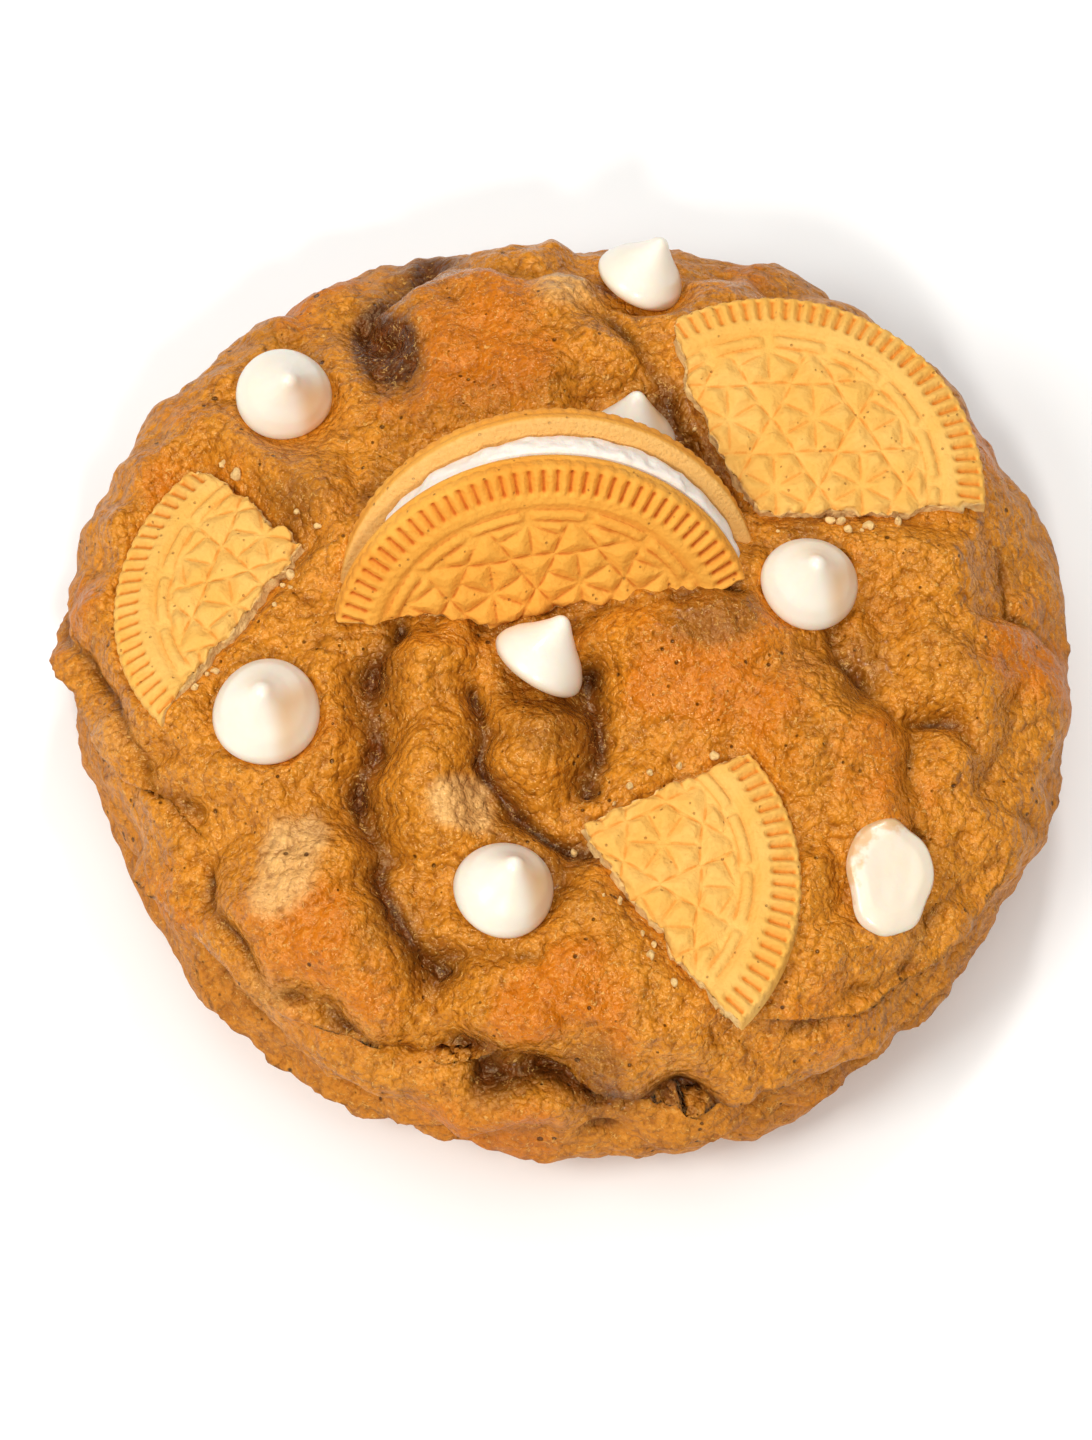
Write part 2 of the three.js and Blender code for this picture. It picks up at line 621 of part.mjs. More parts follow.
for (const [name, piece] of Object.entries(WAFER_PIECES)) {
  const holder = new THREE.Group();
  place(holder, piece);
  cookie.add(holder);
  const wafer = breakWafer(piece.broken, piece.spin, piece.seed);
  const room = roomFor(piece.broken, WAFER_RADIUS, waferBottom, waferTop);
  press(holder, name, toGeometry(wafer), room, goldenBiscuit);
}

// The half sandwich: front wafer, creme, and back wafer with its pattern facing away.
{
  const holder = new THREE.Group();
  place(holder, SANDWICH);
  cookie.add(holder);
  const { broken, spin, seed, slip } = SANDWICH;
  const cremeTop = waferBottom - FIT_GAP;
  const cremeBottom = cremeTop - CREME_THICKNESS;
  const backFace = cremeBottom - FIT_GAP;

  press(holder, 'half_front', toGeometry(breakWafer(broken, spin, seed)),
    roomFor(broken, WAFER_RADIUS, waferBottom, waferTop), goldenBiscuit);

  const cremeShape = [];
  for (let step = 0; step < 2 * CREME_RIPPLES; step++) {
    const angle = Math.PI * step / CREME_RIPPLES;
    const radius = CREME_RADIUS + (step % 2 ? 0.15 : -0.15);
    cremeShape.push(new THREE.Vector2(radius * Math.cos(angle), radius * Math.sin(angle)));
  }
  const creme = extruded(new THREE.Shape(cremeShape), cremeBottom, cremeTop)
    .translate([...slip, 0])
    .intersect(extruded(keptShape(ragged(broken, seed + 1)), cremeBottom - 1, cremeTop + 1));
  press(holder, 'half_creme', toGeometry(creme),
    roomFor(broken, CREME_RADIUS, cremeBottom, cremeTop, slip), whiteCreme);

  const backPattern = backFace - PLATE_THICKNESS - EMBOSS_HEIGHT;
  const backWafer = wholeWafer.rotate([0, 180, spin + 3])
    .translate([...slip, backFace - PLATE_THICKNESS])
    .intersect(extruded(keptShape(ragged(broken, seed + 2)), backFace - 8, backFace + 1));
  press(holder, 'half_back', toGeometry(backWafer),
    roomFor(broken, WAFER_RADIUS, backPattern, backFace, slip), goldenBiscuit);
}

for (const [name, drop] of Object.entries(DROPS)) {
  const holder = new THREE.Group();
  place(holder, drop);
  cookie.add(holder);
  press(holder, name, makeDrop(drop.size, 0), toSolid(makeDrop(drop.size, FIT_GAP)), whiteChocolate);
}

{
  const holder = new THREE.Group();
  place(holder, FLAT_DROP);
  cookie.add(holder);
  press(holder, 'drop_flat', makeFlatDrop(0), toSolid(makeFlatDrop(FIT_GAP)), whiteChocolate);
}

const doughMesh = new THREE.Mesh(toGeometry(withoutScraps(dough)), caramelCrust);
doughMesh.name = 'dough';
cookie.add(doughMesh);

export default cookie;
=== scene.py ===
import math

import bmesh
import bpy
import numpy as np
from mathutils import Matrix, Vector
from mathutils.bvhtree import BVHTree


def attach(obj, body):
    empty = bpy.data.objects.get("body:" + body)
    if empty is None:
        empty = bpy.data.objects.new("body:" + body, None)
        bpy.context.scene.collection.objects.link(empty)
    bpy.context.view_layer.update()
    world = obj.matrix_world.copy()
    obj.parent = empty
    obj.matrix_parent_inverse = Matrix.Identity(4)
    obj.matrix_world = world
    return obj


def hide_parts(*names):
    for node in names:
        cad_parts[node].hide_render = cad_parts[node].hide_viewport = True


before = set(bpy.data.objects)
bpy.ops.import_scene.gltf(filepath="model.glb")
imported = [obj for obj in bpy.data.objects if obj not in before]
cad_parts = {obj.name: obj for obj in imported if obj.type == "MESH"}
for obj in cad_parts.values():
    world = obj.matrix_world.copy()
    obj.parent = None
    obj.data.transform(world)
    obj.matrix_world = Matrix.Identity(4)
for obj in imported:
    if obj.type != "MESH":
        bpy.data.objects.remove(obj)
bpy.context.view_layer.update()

# The table ------------------------------------------------
# The cookie lies on a plain white table, in soft daylight from a window at the left.
# It is seen from 65 degrees above the table, from a little over half a metre away.

MM = 0.001
TABLE_CORNERS = [(-3, -3, 0), (3, -3, 0), (3, 3, 0), (-3, 3, 0)]  # metres
SKY_STRENGTH = 0.13
PICTURE_WIDTH, PICTURE_HEIGHT = 1092, 1440
VIEW_ANGLE = math.radians(65)
VIEW_DISTANCE = 600 * MM
VIEW_TARGET = Vector((0, 0, 12 * MM))
TARGET_PIXEL = (566, 685)  # where the target shows in the picture
LENS = 139.5  # mm, for a sensor 36 mm high


def paint(red, green, blue):
    """A colour given from 0 to 255, as the linear values that a shader takes."""
    linear = [((part / 255 + 0.055) / 1.055) ** 2.4 for part in (red, green, blue)]
    return (*linear, 1.0)


class Signal:
    """What a socket of a finish gives. Sums and products on it add Math nodes."""

    def __init__(self, finish, socket):
        self.finish = finish
        self.socket = socket

    def math(self, operation, *values):
        return self.finish.node(
            "ShaderNodeMath", {"operation": operation}, dict(enumerate(values)))

    def __abs__(self):
        return self.math("ABSOLUTE", self)

    def __add__(self, other):
        return self.math("ADD", self, other)

    def __sub__(self, other):
        return self.math("SUBTRACT", self, other)

    def __rsub__(self, other):
        return self.math("SUBTRACT", other, self)

    def __mul__(self, other):
        return self.math("MULTIPLY", self, other)

    __radd__ = __add__


class Finish:
    """A surface's material. Its textures lie in the piece's own space, sized in mm."""

    def __init__(self, name, fixed):
        self.material = bpy.data.materials.new(name)
        self.material.use_nodes = True
        self.tree = self.material.node_tree
        self.shader = self.tree.nodes["Principled BSDF"]
        for socket, value in fixed.items():
            self.shader.inputs[socket].default_value = value
        self.place = self.node("ShaderNodeTexCoord", output="Object")

    def node(self, kind, settings=None, sockets=None, output=0):
        """Adds a node, sets it up, fills or links its sockets, and gives one output."""
        node = self.tree.nodes.new(kind)
        for setting, value in (settings or {}).items():
            setattr(node, setting, value)
        for socket, value in (sockets or {}).items():
            if isinstance(value, Signal):
                self.tree.links.new(value.socket, node.inputs[socket])
            else:
                node.inputs[socket].default_value = value
        return Signal(self, node.outputs[output])

    def attribute(self, name):
        return self.node("ShaderNodeAttribute", {"attribute_name": name}, output="Fac")

    def noise(self, size, detail=2.0, roughness=0.5, distortion=0.0):
        return self.node("ShaderNodeTexNoise", {}, {
            "Vector": self.place, "Scale": 1 / (size * MM), "Detail": detail,
            "Roughness": roughness, "Distortion": distortion})

    def cells(self, size, warp=0.0, seed=0.0):
        """How far each spot is from the middle of its cell. The cells wander by warp mm."""
        drift = self.node("ShaderNodeTexNoise", {}, {
            "Vector": self.place, "Scale": 0.7 / (size * MM)}, "Color")
        drift = self.node("ShaderNodeVectorMath", {"operation": "SCALE"}, {
            0: drift, "Scale": 2 * warp * MM})
        spot = self.node("ShaderNodeVectorMath", {"operation": "ADD"}, {
            0: self.place, 1: drift})
        spot = self.node("ShaderNodeVectorMath", {"operation": "ADD"}, {
            0: spot, 1: (seed, seed, 0)})
        return self.node("ShaderNodeTexVoronoi", {}, {
            "Vector": spot, "Scale": 1 / (size * MM)}, "Distance")

    def rise(self, value, low, high):
        """Goes smoothly from 0 to 1 as the value goes from low to high."""
        return self.node("ShaderNodeMapRange", {"interpolation_type": "SMOOTHSTEP"},
                         {"Value": value, "From Min": low, "From Max": high})

    def blend(self, share, first, second):
        return self.node("ShaderNodeMix", {"data_type": "RGBA"},
                         {0: share, 6: first, 7: second}, 2)

    def layered(self, color, *layers):
        """Lays colours over the first one, each given after the share that it covers."""
        for share, over in layers:
            color = self.blend(share, color, paint(*over))
        return color

    def show(self, **parts):
        """Links what changes over the surface: colour, roughness, and relief in mm."""
        if "relief" in parts:
            parts["normal"] = self.node("ShaderNodeBump", {}, {
                "Strength": 1.0, "Distance": MM, "Height": parts.pop("relief")})
        for part, signal in parts.items():
            socket = {"color": "Base Color", "roughness": "Roughness",
                      "normal": "Normal", "coat": "Coat Weight"}[part]
            self.tree.links.new(signal.socket, self.shader.inputs[socket])
        return self.material


camera_data = bpy.data.cameras.new("camera")
camera_data.lens = LENS
camera_data.shift_x = (PICTURE_WIDTH / 2 - TARGET_PIXEL[0]) / PICTURE_HEIGHT
camera_data.shift_y = (TARGET_PIXEL[1] - PICTURE_HEIGHT / 2) / PICTURE_HEIGHT
camera = bpy.data.objects.new("camera", camera_data)
camera.rotation_euler = (math.pi / 2 - VIEW_ANGLE, 0, 0)
camera.location = VIEW_TARGET + VIEW_DISTANCE * Vector(
    (0, -math.cos(VIEW_ANGLE), math.sin(VIEW_ANGLE)))
bpy.context.collection.objects.link(camera)
bpy.context.scene.camera = camera

table_mesh = bpy.data.meshes.new("table")
table_mesh.from_pydata(TABLE_CORNERS, [], [(0, 1, 2, 3)])
table = bpy.data.objects.new("table", table_mesh)
bpy.context.collection.objects.link(table)
table_finish = Finish("white_table", {"Roughness": 0.9, "Specular IOR Level": 0.1})
table_mesh.materials.append(table_finish.show(color=table_finish.blend(
    table_finish.noise(40), paint(250, 250, 249), paint(252, 252, 252))))

LAMPS = {  # direction, distance and size in metres, watts, colour
    "window": ((-0.55, -0.3, 0.8), 0.9, 0.35, 3.8, (1.0, 0.98, 0.94)),
    "front_window": ((0.05, -0.7, 0.75), 0.9, 0.11, 3.1, (1.0, 0.98, 0.94)),
    "back_window": ((0.1, 0.6, 0.8), 1.0, 0.13, 2.2, (1.0, 0.99, 0.97)),
    "ceiling": ((0.0, 0.1, 1.0), 1.0, 1.0, 4.4, (1.0, 1.0, 0.99)),
}
for name, (direction, distance, size, watts, color) in LAMPS.items():
    lamp_data = bpy.data.lights.new(name, "AREA")
    lamp_data.size = size
    lamp_data.energy = watts
    lamp_data.color = color
    lamp = bpy.data.objects.new(name, lamp_data)
    lamp.location = distance * Vector(direction).normalized()
    lamp.rotation_euler = Vector(direction).to_track_quat("Z", "Y").to_euler()
    bpy.context.collection.objects.link(lamp)

world = bpy.data.worlds.new("daylight")
world.use_nodes = True
world.node_tree.nodes["Background"].inputs["Color"].default_value = (1, 1, 1, 1)
world.node_tree.nodes["Background"].inputs["Strength"].default_value = SKY_STRENGTH
bpy.context.scene.world = world
bpy.context.scene.view_settings.view_transform = "Standard"

# The dough ------------------------------------------------
# One thick round of brown-sugar dough, baked soft: smooth toasted mounds with greasy
# valleys between them, darkened partly with painted shade, and a rim that sagged into
# folded layers. Painted shade also darkens the creases, the crevices under the folds and
# the pores. The toppings were pressed into it before it set.

COOKIE_RADIUS = 53
COOKIE_HEIGHT = 27
COOKIE_WAIST = 10.5  # height of the widest level
COOKIE_OVAL = 0.975  # depth over width
CROWN_ROUNDNESS = 2.75
FOOT_ROUNDNESS = 3.4
FOOT_SINK = 1.2
UNDERSIDE_SHARE = 0.12  # the flat underside needs few points
DOUGH_SPLITS = 98  # along each edge of the starting icosahedron

WAFER_RADIUS = 22.5
SHOWN_EDGE = 1.5  # how much of a flat wafer piece stands clear of the crust
LIP_SLOPE = 0.9  # how steeply the crust rises away from it
LIP_SOFTNESS = 0.5
DROP_SINK = 0.5  # how deep a drop's foot is pressed in
DROP_LIP_SLOPE = 1.6
BED_LEAN = 15  # degrees: the bed of a drop that lies on its side leans no further

# Rounded swellings of the crust: how wide and how high, and the points of the line that
# each follows, as bearing in degrees (0 is right, 90 is away) and reach from the crown.
SWELLINGS = {
    "back_mound": (9.5, 3.6, [(110, 43), (100, 41), (91, 35)]),
    "back_mound_foot": (6.5, 1.8, [(112, 32), (98, 27)]),
    "back_pale_lump": (5, 1.6, [(89, 42)]),
    "back_rim": (3.6, 1.8, [(107, 54), (93, 50)]),
    "back_left_lump": (7, 1.0, [(120, 54)]),
    "back_right_shoulder": (14, 3.6, [(66, 37), (46, 38), (24, 41)]),
    "upper_left_lump": (5.8, 2.2, [(149, 33), (156, 27)]),
    "upper_left_rim": (4.8, 1.6, [(152, 53), (129, 55)]),
    "left_shoulder": (9, 2.6, [(150, 44), (168, 44), (188, 45)]),
    "left_rim": (8, 2.3, [(175, 57)]),
    "left_lump": (6.5, 1.9, [(202, 40)]),
    "left_middle": (5.5, 1.6, [(195, 28), (214, 35)]),
    "sandwich_bed": (8, 1.9, [(186, 19), (182, 8), (10, 8), (6, 19)]),
    "long_ridge": (5.6, 2.8, [(200, 15), (224, 19), (237, 27)]),
    "centre_knob": (7.8, 3.8, [(255, 14.5)]),
    "smooth_mound": (10.5, 3.0, [(351, 11), (341, 19), (337, 25)]),
    "lower_left_mound": (11, 4.0, [(228, 43), (238, 43)]),
    "lower_middle_mound": (8.5, 2.8, [(269, 38), (279, 37)]),
    "lower_small_lump": (4.6, 1.8, [(257, 43)]),
    "front_lip": (4.1, 1.7, [(261, 45), (274, 47), (285, 49)]),
    "foot_lump": (4.4, 1.6, [(269, 54)]),
    "left_foot_roll": (4, 1.6, [(242, 56), (262, 54)]),
    "front_shoulder": (8.5, 2.6, [(288, 43), (302, 40)]),
    "lower_right_lip": (4.6, 1.8, [(300, 49), (321, 51)]),
    "right_hill": (8.4, 2.7, [(331, 35)]),
    "right_ridge_inner": (4.3, 2.0, [(14, 40), (353, 40)]),
    "right_ridge_outer": (4.6, 1.9, [(1, 45), (342, 44)]),
    "right_rim_upper": (7, 0.7, [(355, 52)]),
    "right_rim_lower": (6.5, 1.9, [(337, 53)]),
}

# Creases and folds between them, in the same terms: how wide, how deep, and the line.
CREASES = {
    "hollow": (2.2, 4.6, [(107, 53.5), (118, 46.5), (118, 42)]),
    "back_valley": (1.8, 1.8, [(83, 39), (64, 28), (32, 22)]),
    "back_crease": (1, 1.6, [(111, 54), (96, 45), (88, 45)]),
    "left_valley": (1.6, 3.0, [(181, 18), (203, 22), (227, 31), (236, 35), (251, 42)]),
    "sandwich_foot": (1.8, 1.5, [(187, 9.3), (213, 1), (10, 8), (12, 17)]),
    "knob_left": (1.3, 2.8, [(222, 13), (241, 19), (265, 24), (274, 27)]),
    "knob_right": (1.6, 3.2, [(294, 7), (280, 14), (279, 20)]),
    "lower_crease": (1.1, 1.8, [(247, 41), (264, 37)]),
    "mound_edge": (1.2, 2.2, [(216, 47), (232, 50), (251, 49)]),
    "lip_fold_left": (1.2, 2.8, [(251, 50), (263, 47), (270, 49), (281, 53)]),
    "lip_fold_right": (1.2, 2.6, [(281, 53), (293, 56), (304, 58), (320, 60)]),
    "lip_pit": (1.7, 3.4, [(259, 51.5), (268, 51), (275, 54)]),
    "foot_fold_left": (1, 2.0, [(212, 53), (227, 56), (242, 60), (276, 59)]),
    "foot_fold_right": (1, 1.5, [(278, 55), (307, 56)]),
    "left_fold": (1.1, 2.1, [(174, 57), (188, 50), (208, 44)]),
    "right_valley": (1.2, 2.2, [(357, 28), (345, 36), (346, 42)]),
    "hill_edge": (1.2, 1.7, [(344, 38), (325, 45)]),
    "right_rim_fold": (1.1, 1.6, [(28, 54), (6, 48), (3, 55)]),
    "right_notch": (1.1, 1.5, [(344, 43), (338, 54)]),
    "lower_right_fold": (1, 1.5, [(334, 52), (320, 51), (299, 51)]),
}

# Where the rim swells out or draws in: bearing and width in degrees, height in mm.
RIM_LOBES = [
    (15, 10, 0.6), (40, 25, 2.0), (68, 12, 1.1), (109, 7, 2.2), (135, 30, 0.8), (160, 5, 1.8),
    (205, 14, -3.2), (235, 25, -1.1), (285, 30, 0.8),
]

# Folds, where the sagging crust rolled over what lies below it: how far the roll hangs
# over, how wide it is, and its lower edge, in bearings and reaches.
FOLDS = {
    "front_lip": (2.8, 6.0, [
        (203, 60), (213, 53), (222, 50.5), (232, 51), (244, 50.5), (256, 49.8), (262, 47.5),
        (269, 48.5), (273, 51), (279, 53), (284, 55.2), (289, 55), (293, 54.6), (299, 55.6),
        (306, 56.8), (315, 59.3), (325, 60.5)]),
    "foot_ledge": (1.3, 3.5, [
        (216, 54), (225, 60), (234, 63.5), (246, 62), (253, 60.5), (264, 56)]),
    "lower_foot_ledge": (0.8, 2.2, [(228, 66.5), (244, 65), (258, 63), (272, 64)]),
    "right_ledge": (1.5, 3.0, [(291, 47), (305, 51.5), (318, 53.5), (336, 53)]),
    "right_under_ledge": (0.9, 2.2, [(300, 54.5), (309, 56), (318, 57), (334, 57.5)]),
    "lower_right_ledge": (1.2, 3.0, [(276, 60), (288, 60), (299, 61), (312, 64)]),
    "left_ledge": (1.4, 4.0, [(170, 60), (182, 56), (191, 52), (197, 50.5), (203, 46), (214, 44)]),
    "right_side": (1.3, 4.0, [(335, 59), (348, 60.5), (5, 58), (24, 57)]),
    "far_side": (1.5, 4.5, [(40, 59), (62, 57), (85, 60), (110, 58), (132, 60)]),
}
FOLD_END = 7  # degrees over which a fold dies away

PUFFS = 120  # small soft puffs all over the crust
PUFF_HEIGHT = 0.9
PUFF_EDGE = 6
GOLDEN_ANGLE = math.pi * (3 - math.sqrt(5))

# Patches of colour: bearing, reach, half width and strength of each.
TOASTED = [
    (237, 45, 12, 0.9), (108, 37, 13, 1.0), (341, 17, 13, 0.9), (269, 43, 10, 0.8),
    (333, 36, 9, 0.7), (215, 52, 8, 0.6), (0, 53, 10, 0.8), (262, 56, 11, 1.0),
    (120, 54, 10, 0.6), (175, 55, 9, 0.5), (30, 52, 9, 0.7), (300, 56, 10, 0.5),
    (70, 50, 10, 0.5), (150, 48, 8, 0.5), (8, 30, 8, 0.5), (206, 30, 6, 0.4),
]
# Damp patches: greasier, darker dough, darkened partly with painted shade in the valleys and under
# the sandwich.
DAMP_AND_SHADE = [
    (283, 12, 6, 0.9), (121, 38, 7, 1.0), (58, 28, 10, 0.9), (157, 33, 8, 1.0),
    (150, 24, 8, 0.5), (205, 24, 6, 0.6), (251, 24, 5, 0.6), (262, 30, 6, 0.7),
    (350, 32, 6, 0.6), (345, 42, 5, 0.5), (274, 50, 5, 0.9), (255, 10, 9, 0.5),
    (295, 44, 6, 0.5), (15, 24, 6, 0.4), (224, 34, 5, 0.4), (4, 14, 7, 1.1), (30, 30, 7, 0.5),
]
# A patch of painted shadow in the deep hollow at the back.
PAINTED_HOLLOW_SHADOW = [(119, 41, 5, 1.2)]
PALE = [
    (221, 38, 5, 1.0), (226, 41, 4.5, 0.9), (89, 42, 5.5, 0.8), (245, 24, 4.2, 1.3),
    (192, 50, 6, 0.4), (232, 52, 8, 0.5), (318, 47, 7, 0.4), (352, 24, 5, 0.3),
]

# Single wafer pieces lie flat in it: the middle of the whole round's patterned face, how
# far its axis leans towards a bearing, how far the pattern is turned, and the line of
# the break in the round's own plane.
WAFER_PIECES = {
    "biscuit_left": ((-26.2, 4.8, 27.2), 14, 145, 12, [
        (-17.6, -17.2), (-13.0, -9.8), (-9.5, -5.3), (-5.7, -0.4), (-1.6, 5.4),
        (-5.1, 8.4), (-8.1, 11.7), (-11.6, 15.1), (-16.0, 17.6)]),
    "biscuit_right": ((22.2, 16.0, 27.2), 5, 280, 2, [
        (-10.9, 22.5), (-9.7, 12.5), (-6.3, 5.6), (-3.7, -0.2), (-1.9, -3.0),
        (5.9, -2.5), (13.3, -2.6), (24.5, -1.2)]),
    "biscuit_front": ((1.8, -28.9, 26.2), 3, 200, 26, [
        (19.3, 15.2), (13.7, 12.7), (6.9, 9.5), (-0.1, 6.2), (1.7, 2.8),
        (6.8, -4.5), (10.9, -10.6), (17.4, -17.2)]),
}
# White chocolate drops: middle of the base, lean, towards which bearing, and size.
DROPS = {
    "drop_back": ((7.7, 43.3, 22.2), 38, 47, 0.96),
    "drop_upper_left": ((-30.6, 29.4, 22.6), 14, -53, 1.0),
    "drop_behind": ((6.9, 21.8, 26.2), 38, 80, 0.92),
    "drop_right": ((25.6, 4.6, 26.6), 6, -45, 1.0),
    "drop_centre": ((-3.4, -6.1, 28.6), 52, 48, 1.0),
    "drop_left": ((-31.2, -9.9, 25.6), 5, 220, 1.12),
    "drop_front": ((-6.6, -30.2, 25.8), 13, 14, 1.03),
}
DROP_RADIUS = 5.2


def smooth(value, low, high):
    """Goes smoothly from 0 to 1 as the value goes from low to high."""
    part = np.clip((value - low) / (high - low), 0, 1)
    return part * part * (3 - 2 * part)


def lumps(points, size, seed):
    """Smooth random values, about -1 to 1, that change over about that size in mm."""
    lattice = np.random.default_rng(seed).random((32, 32, 32)) * 2 - 1
    tilted = points @ np.array([[0.80, 0.36, -0.48], [-0.60, 0.48, -0.64], [0, 0.80, 0.60]])
    cell = np.floor(tilted / size).astype(int)
    part = smooth(tilted / size - cell, 0, 1)
    total = np.zeros(len(points))
    for corner in np.ndindex(2, 2, 2):
        share = np.prod(np.where(corner, part, 1 - part), axis=1)
        total += share * lattice[tuple(((cell + corner) % 32).T)]
    return total


def make_piece(name, points, faces, finish, node=None, marks=None):
    """A smooth mesh from points in mm, which stands for a CAD node and rides with it."""
    mesh = bpy.data.meshes.new(name)
    mesh.from_pydata((points * MM).tolist(), [], faces)
    mesh.shade_smooth()
    for mark, values in (marks or {}).items():
        mesh.attributes.new(mark, "FLOAT", "POINT").data.foreach_set(
            "value", values.astype(np.float32))
    mesh.materials.append(finish)
    piece = bpy.data.objects.new(name, mesh)
    bpy.context.collection.objects.link(piece)
    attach(piece, "root")
    if node:
        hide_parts(node)


def on_circle(angles):
    return np.stack([np.cos(angles), np.sin(angles)], axis=-1)


def turned(lean, towards):
    """The turn that leans a piece's axis by an angle towards a bearing."""
    x, y = on_circle(math.radians(towards))
    return np.array(Matrix.Rotation(math.radians(lean), 3, Vector((-y, x, 0))))


def placed(points, centre, lean, towards):
    return points @ turned(lean, towards).T + centre


def kept_corners(broken, radius, steps=12):
    """Corners of a broken round out to a radius, counter-clockwise: the break, the arc."""
    (x0, y0), (x1, y1) = broken[0], broken[-1]
    start = math.atan2(y1, x1)
    turn = (math.atan2(y0, x0) - start) % math.tau
    angles = start + turn * np.arange(steps + 1) / steps
    return np.vstack([broken, radius * on_circle(angles)])


def distance_outside(corners, x, y):
    """How far each point lies outside the outline, or 0 inside it."""
    inside = np.zeros(len(x), bool)
    nearest = np.full(len(x), np.inf)
    for (x0, y0), (x1, y1) in zip(corners, np.roll(corners, -1, axis=0)):
        run, rise = x1 - x0, y1 - y0
        if rise:
            inside ^= ((y0 > y) != (y1 > y)) & (x < x0 + run * (y - y0) / rise)
        length = max(1e-9, run ** 2 + rise ** 2)
        along = np.clip(((x - x0) * run + (y - y0) * rise) / length, 0, 1)
        nearest = np.minimum(nearest, np.hypot(x - x0 - along * run, y - y0 - along * rise))
    return np.where(inside, 0, nearest)


def running_sum(steps):
    return np.concatenate([[0], np.cumsum(steps)])


# The plain round's outline, from the crown to the middle of the underside.
latitude = math.pi * (0.5 - np.linspace(0, 1, 2001))
above = latitude >= 0
power = np.where(above, 2 / CROWN_ROUNDNESS, 2 / FOOT_ROUNDNESS)
climb = np.abs(np.sin(latitude)) ** power
outline_radius = COOKIE_RADIUS * np.clip(np.cos(latitude), 0, None) ** power
outline_height = np.where(
    above, COOKIE_WAIST + (COOKIE_HEIGHT - COOKIE_WAIST) * climb,
    np.maximum(0, COOKIE_WAIST - (COOKIE_WAIST + FOOT_SINK) * climb))
stretch = np.hypot(np.diff(outline_radius), np.diff(outline_height))
outline_reach = running_sum(stretch)
weight = np.where(outline_height[1:] > 0, 1, UNDERSIDE_SHARE) * stretch
ring_area = weight * (outline_radius[1:] + outline_radius[:-1])
outline_share = running_sum(ring_area) / ring_area.sum()


def crust_point(bearing, reach):
    radius = np.interp(reach, outline_reach, outline_radius)
    height = np.interp(reach, outline_reach, outline_height)
    return np.stack(
        [radius * np.cos(bearing), radius * COOKIE_OVAL * np.sin(bearing), height], axis=-1)


def crust_normal(bearing, reach):
    run, rise = (np.interp(reach + 0.4, outline_reach, line)
                 - np.interp(reach - 0.4, outline_reach, line)
                 for line in (outline_radius, outline_height))
    out = np.stack([-rise * np.cos(bearing), -rise * np.sin(bearing) / COOKIE_OVAL, run], axis=-1)
    return out / np.linalg.norm(out, axis=1, keepdims=True)


def wander(points, rate, amount, phase):
    """Moves points a little, so that swellings and creases wander as in real dough."""
    x, y, z = points.T
    return points + amount * np.stack([
        np.sin(y * rate + z * rate * 0.7 + 1.3 + phase)
        + 0.5 * np.sin(x * rate * 1.9 + phase * 2 + 0.4),
        np.sin(x * rate * 1.1 - z * rate * 0.5 + 2.1 + phase)
        + 0.5 * np.sin(y * rate * 2.1 + 3.3 + phase),
        np.sin((x + y) * rate * 0.9 + phase + 0.2)], axis=1)


def distance_to(line, points):
    """How far each point is from a line that is given by bearings and reaches."""
    corners = crust_point(*np.radians([1, 180 / math.pi] * np.array(line, float)).T)
    nearest = np.linalg.norm(points - corners[0], axis=1)
    for start, end in zip(corners, corners[1:]):
        run = end - start
        along = np.clip((points - start) @ run / (run @ run), 0, 1)
        nearest = np.minimum(
            nearest, np.linalg.norm(points - start - along[:, None] * run, axis=1))
    return nearest


def chance(index, purpose):
    value = np.sin(index * 12.9898 + purpose * 78.233) * 43758.5453
    return value - np.floor(value)


def puff_height(points):
    """Height of the small puff that a point lies on, and how near it is to its edge."""
    index = np.arange(PUFFS)
    reach = np.interp(0.02 + 0.88 * (index + 0.5) / PUFFS, outline_share, outline_reach)
    jitter = 1.2 * (chance(index, 3) - 0.5) * np.minimum(1, 9 / np.maximum(reach, 1))
    middles = crust_point(index * GOLDEN_ANGLE + jitter,
                          np.maximum(0, reach + 5 * (chance(index, 4) - 0.5)))
    away = np.stack([np.linalg.norm(points - middle, axis=1) for middle in middles])
    first = away.argmin(axis=0)
    nearest, second = np.partition(away, 1, axis=0)[:2]
    inside = np.minimum(1, (second - nearest) / PUFF_EDGE)
    height = PUFF_HEIGHT * ((0.3 + 1.1 * chance(first, 5)) * inside ** 0.8 - 0.4)
    return height, 1 - inside


def patch_mask(patches, points):
    mask = np.zeros(len(points))
    for bearing, reach, half, strength in patches:
        away = distance_to([(bearing, reach)], points) / half
        mask = np.maximum(mask, strength * smooth(away, 1.25, 0.25))
    return mask


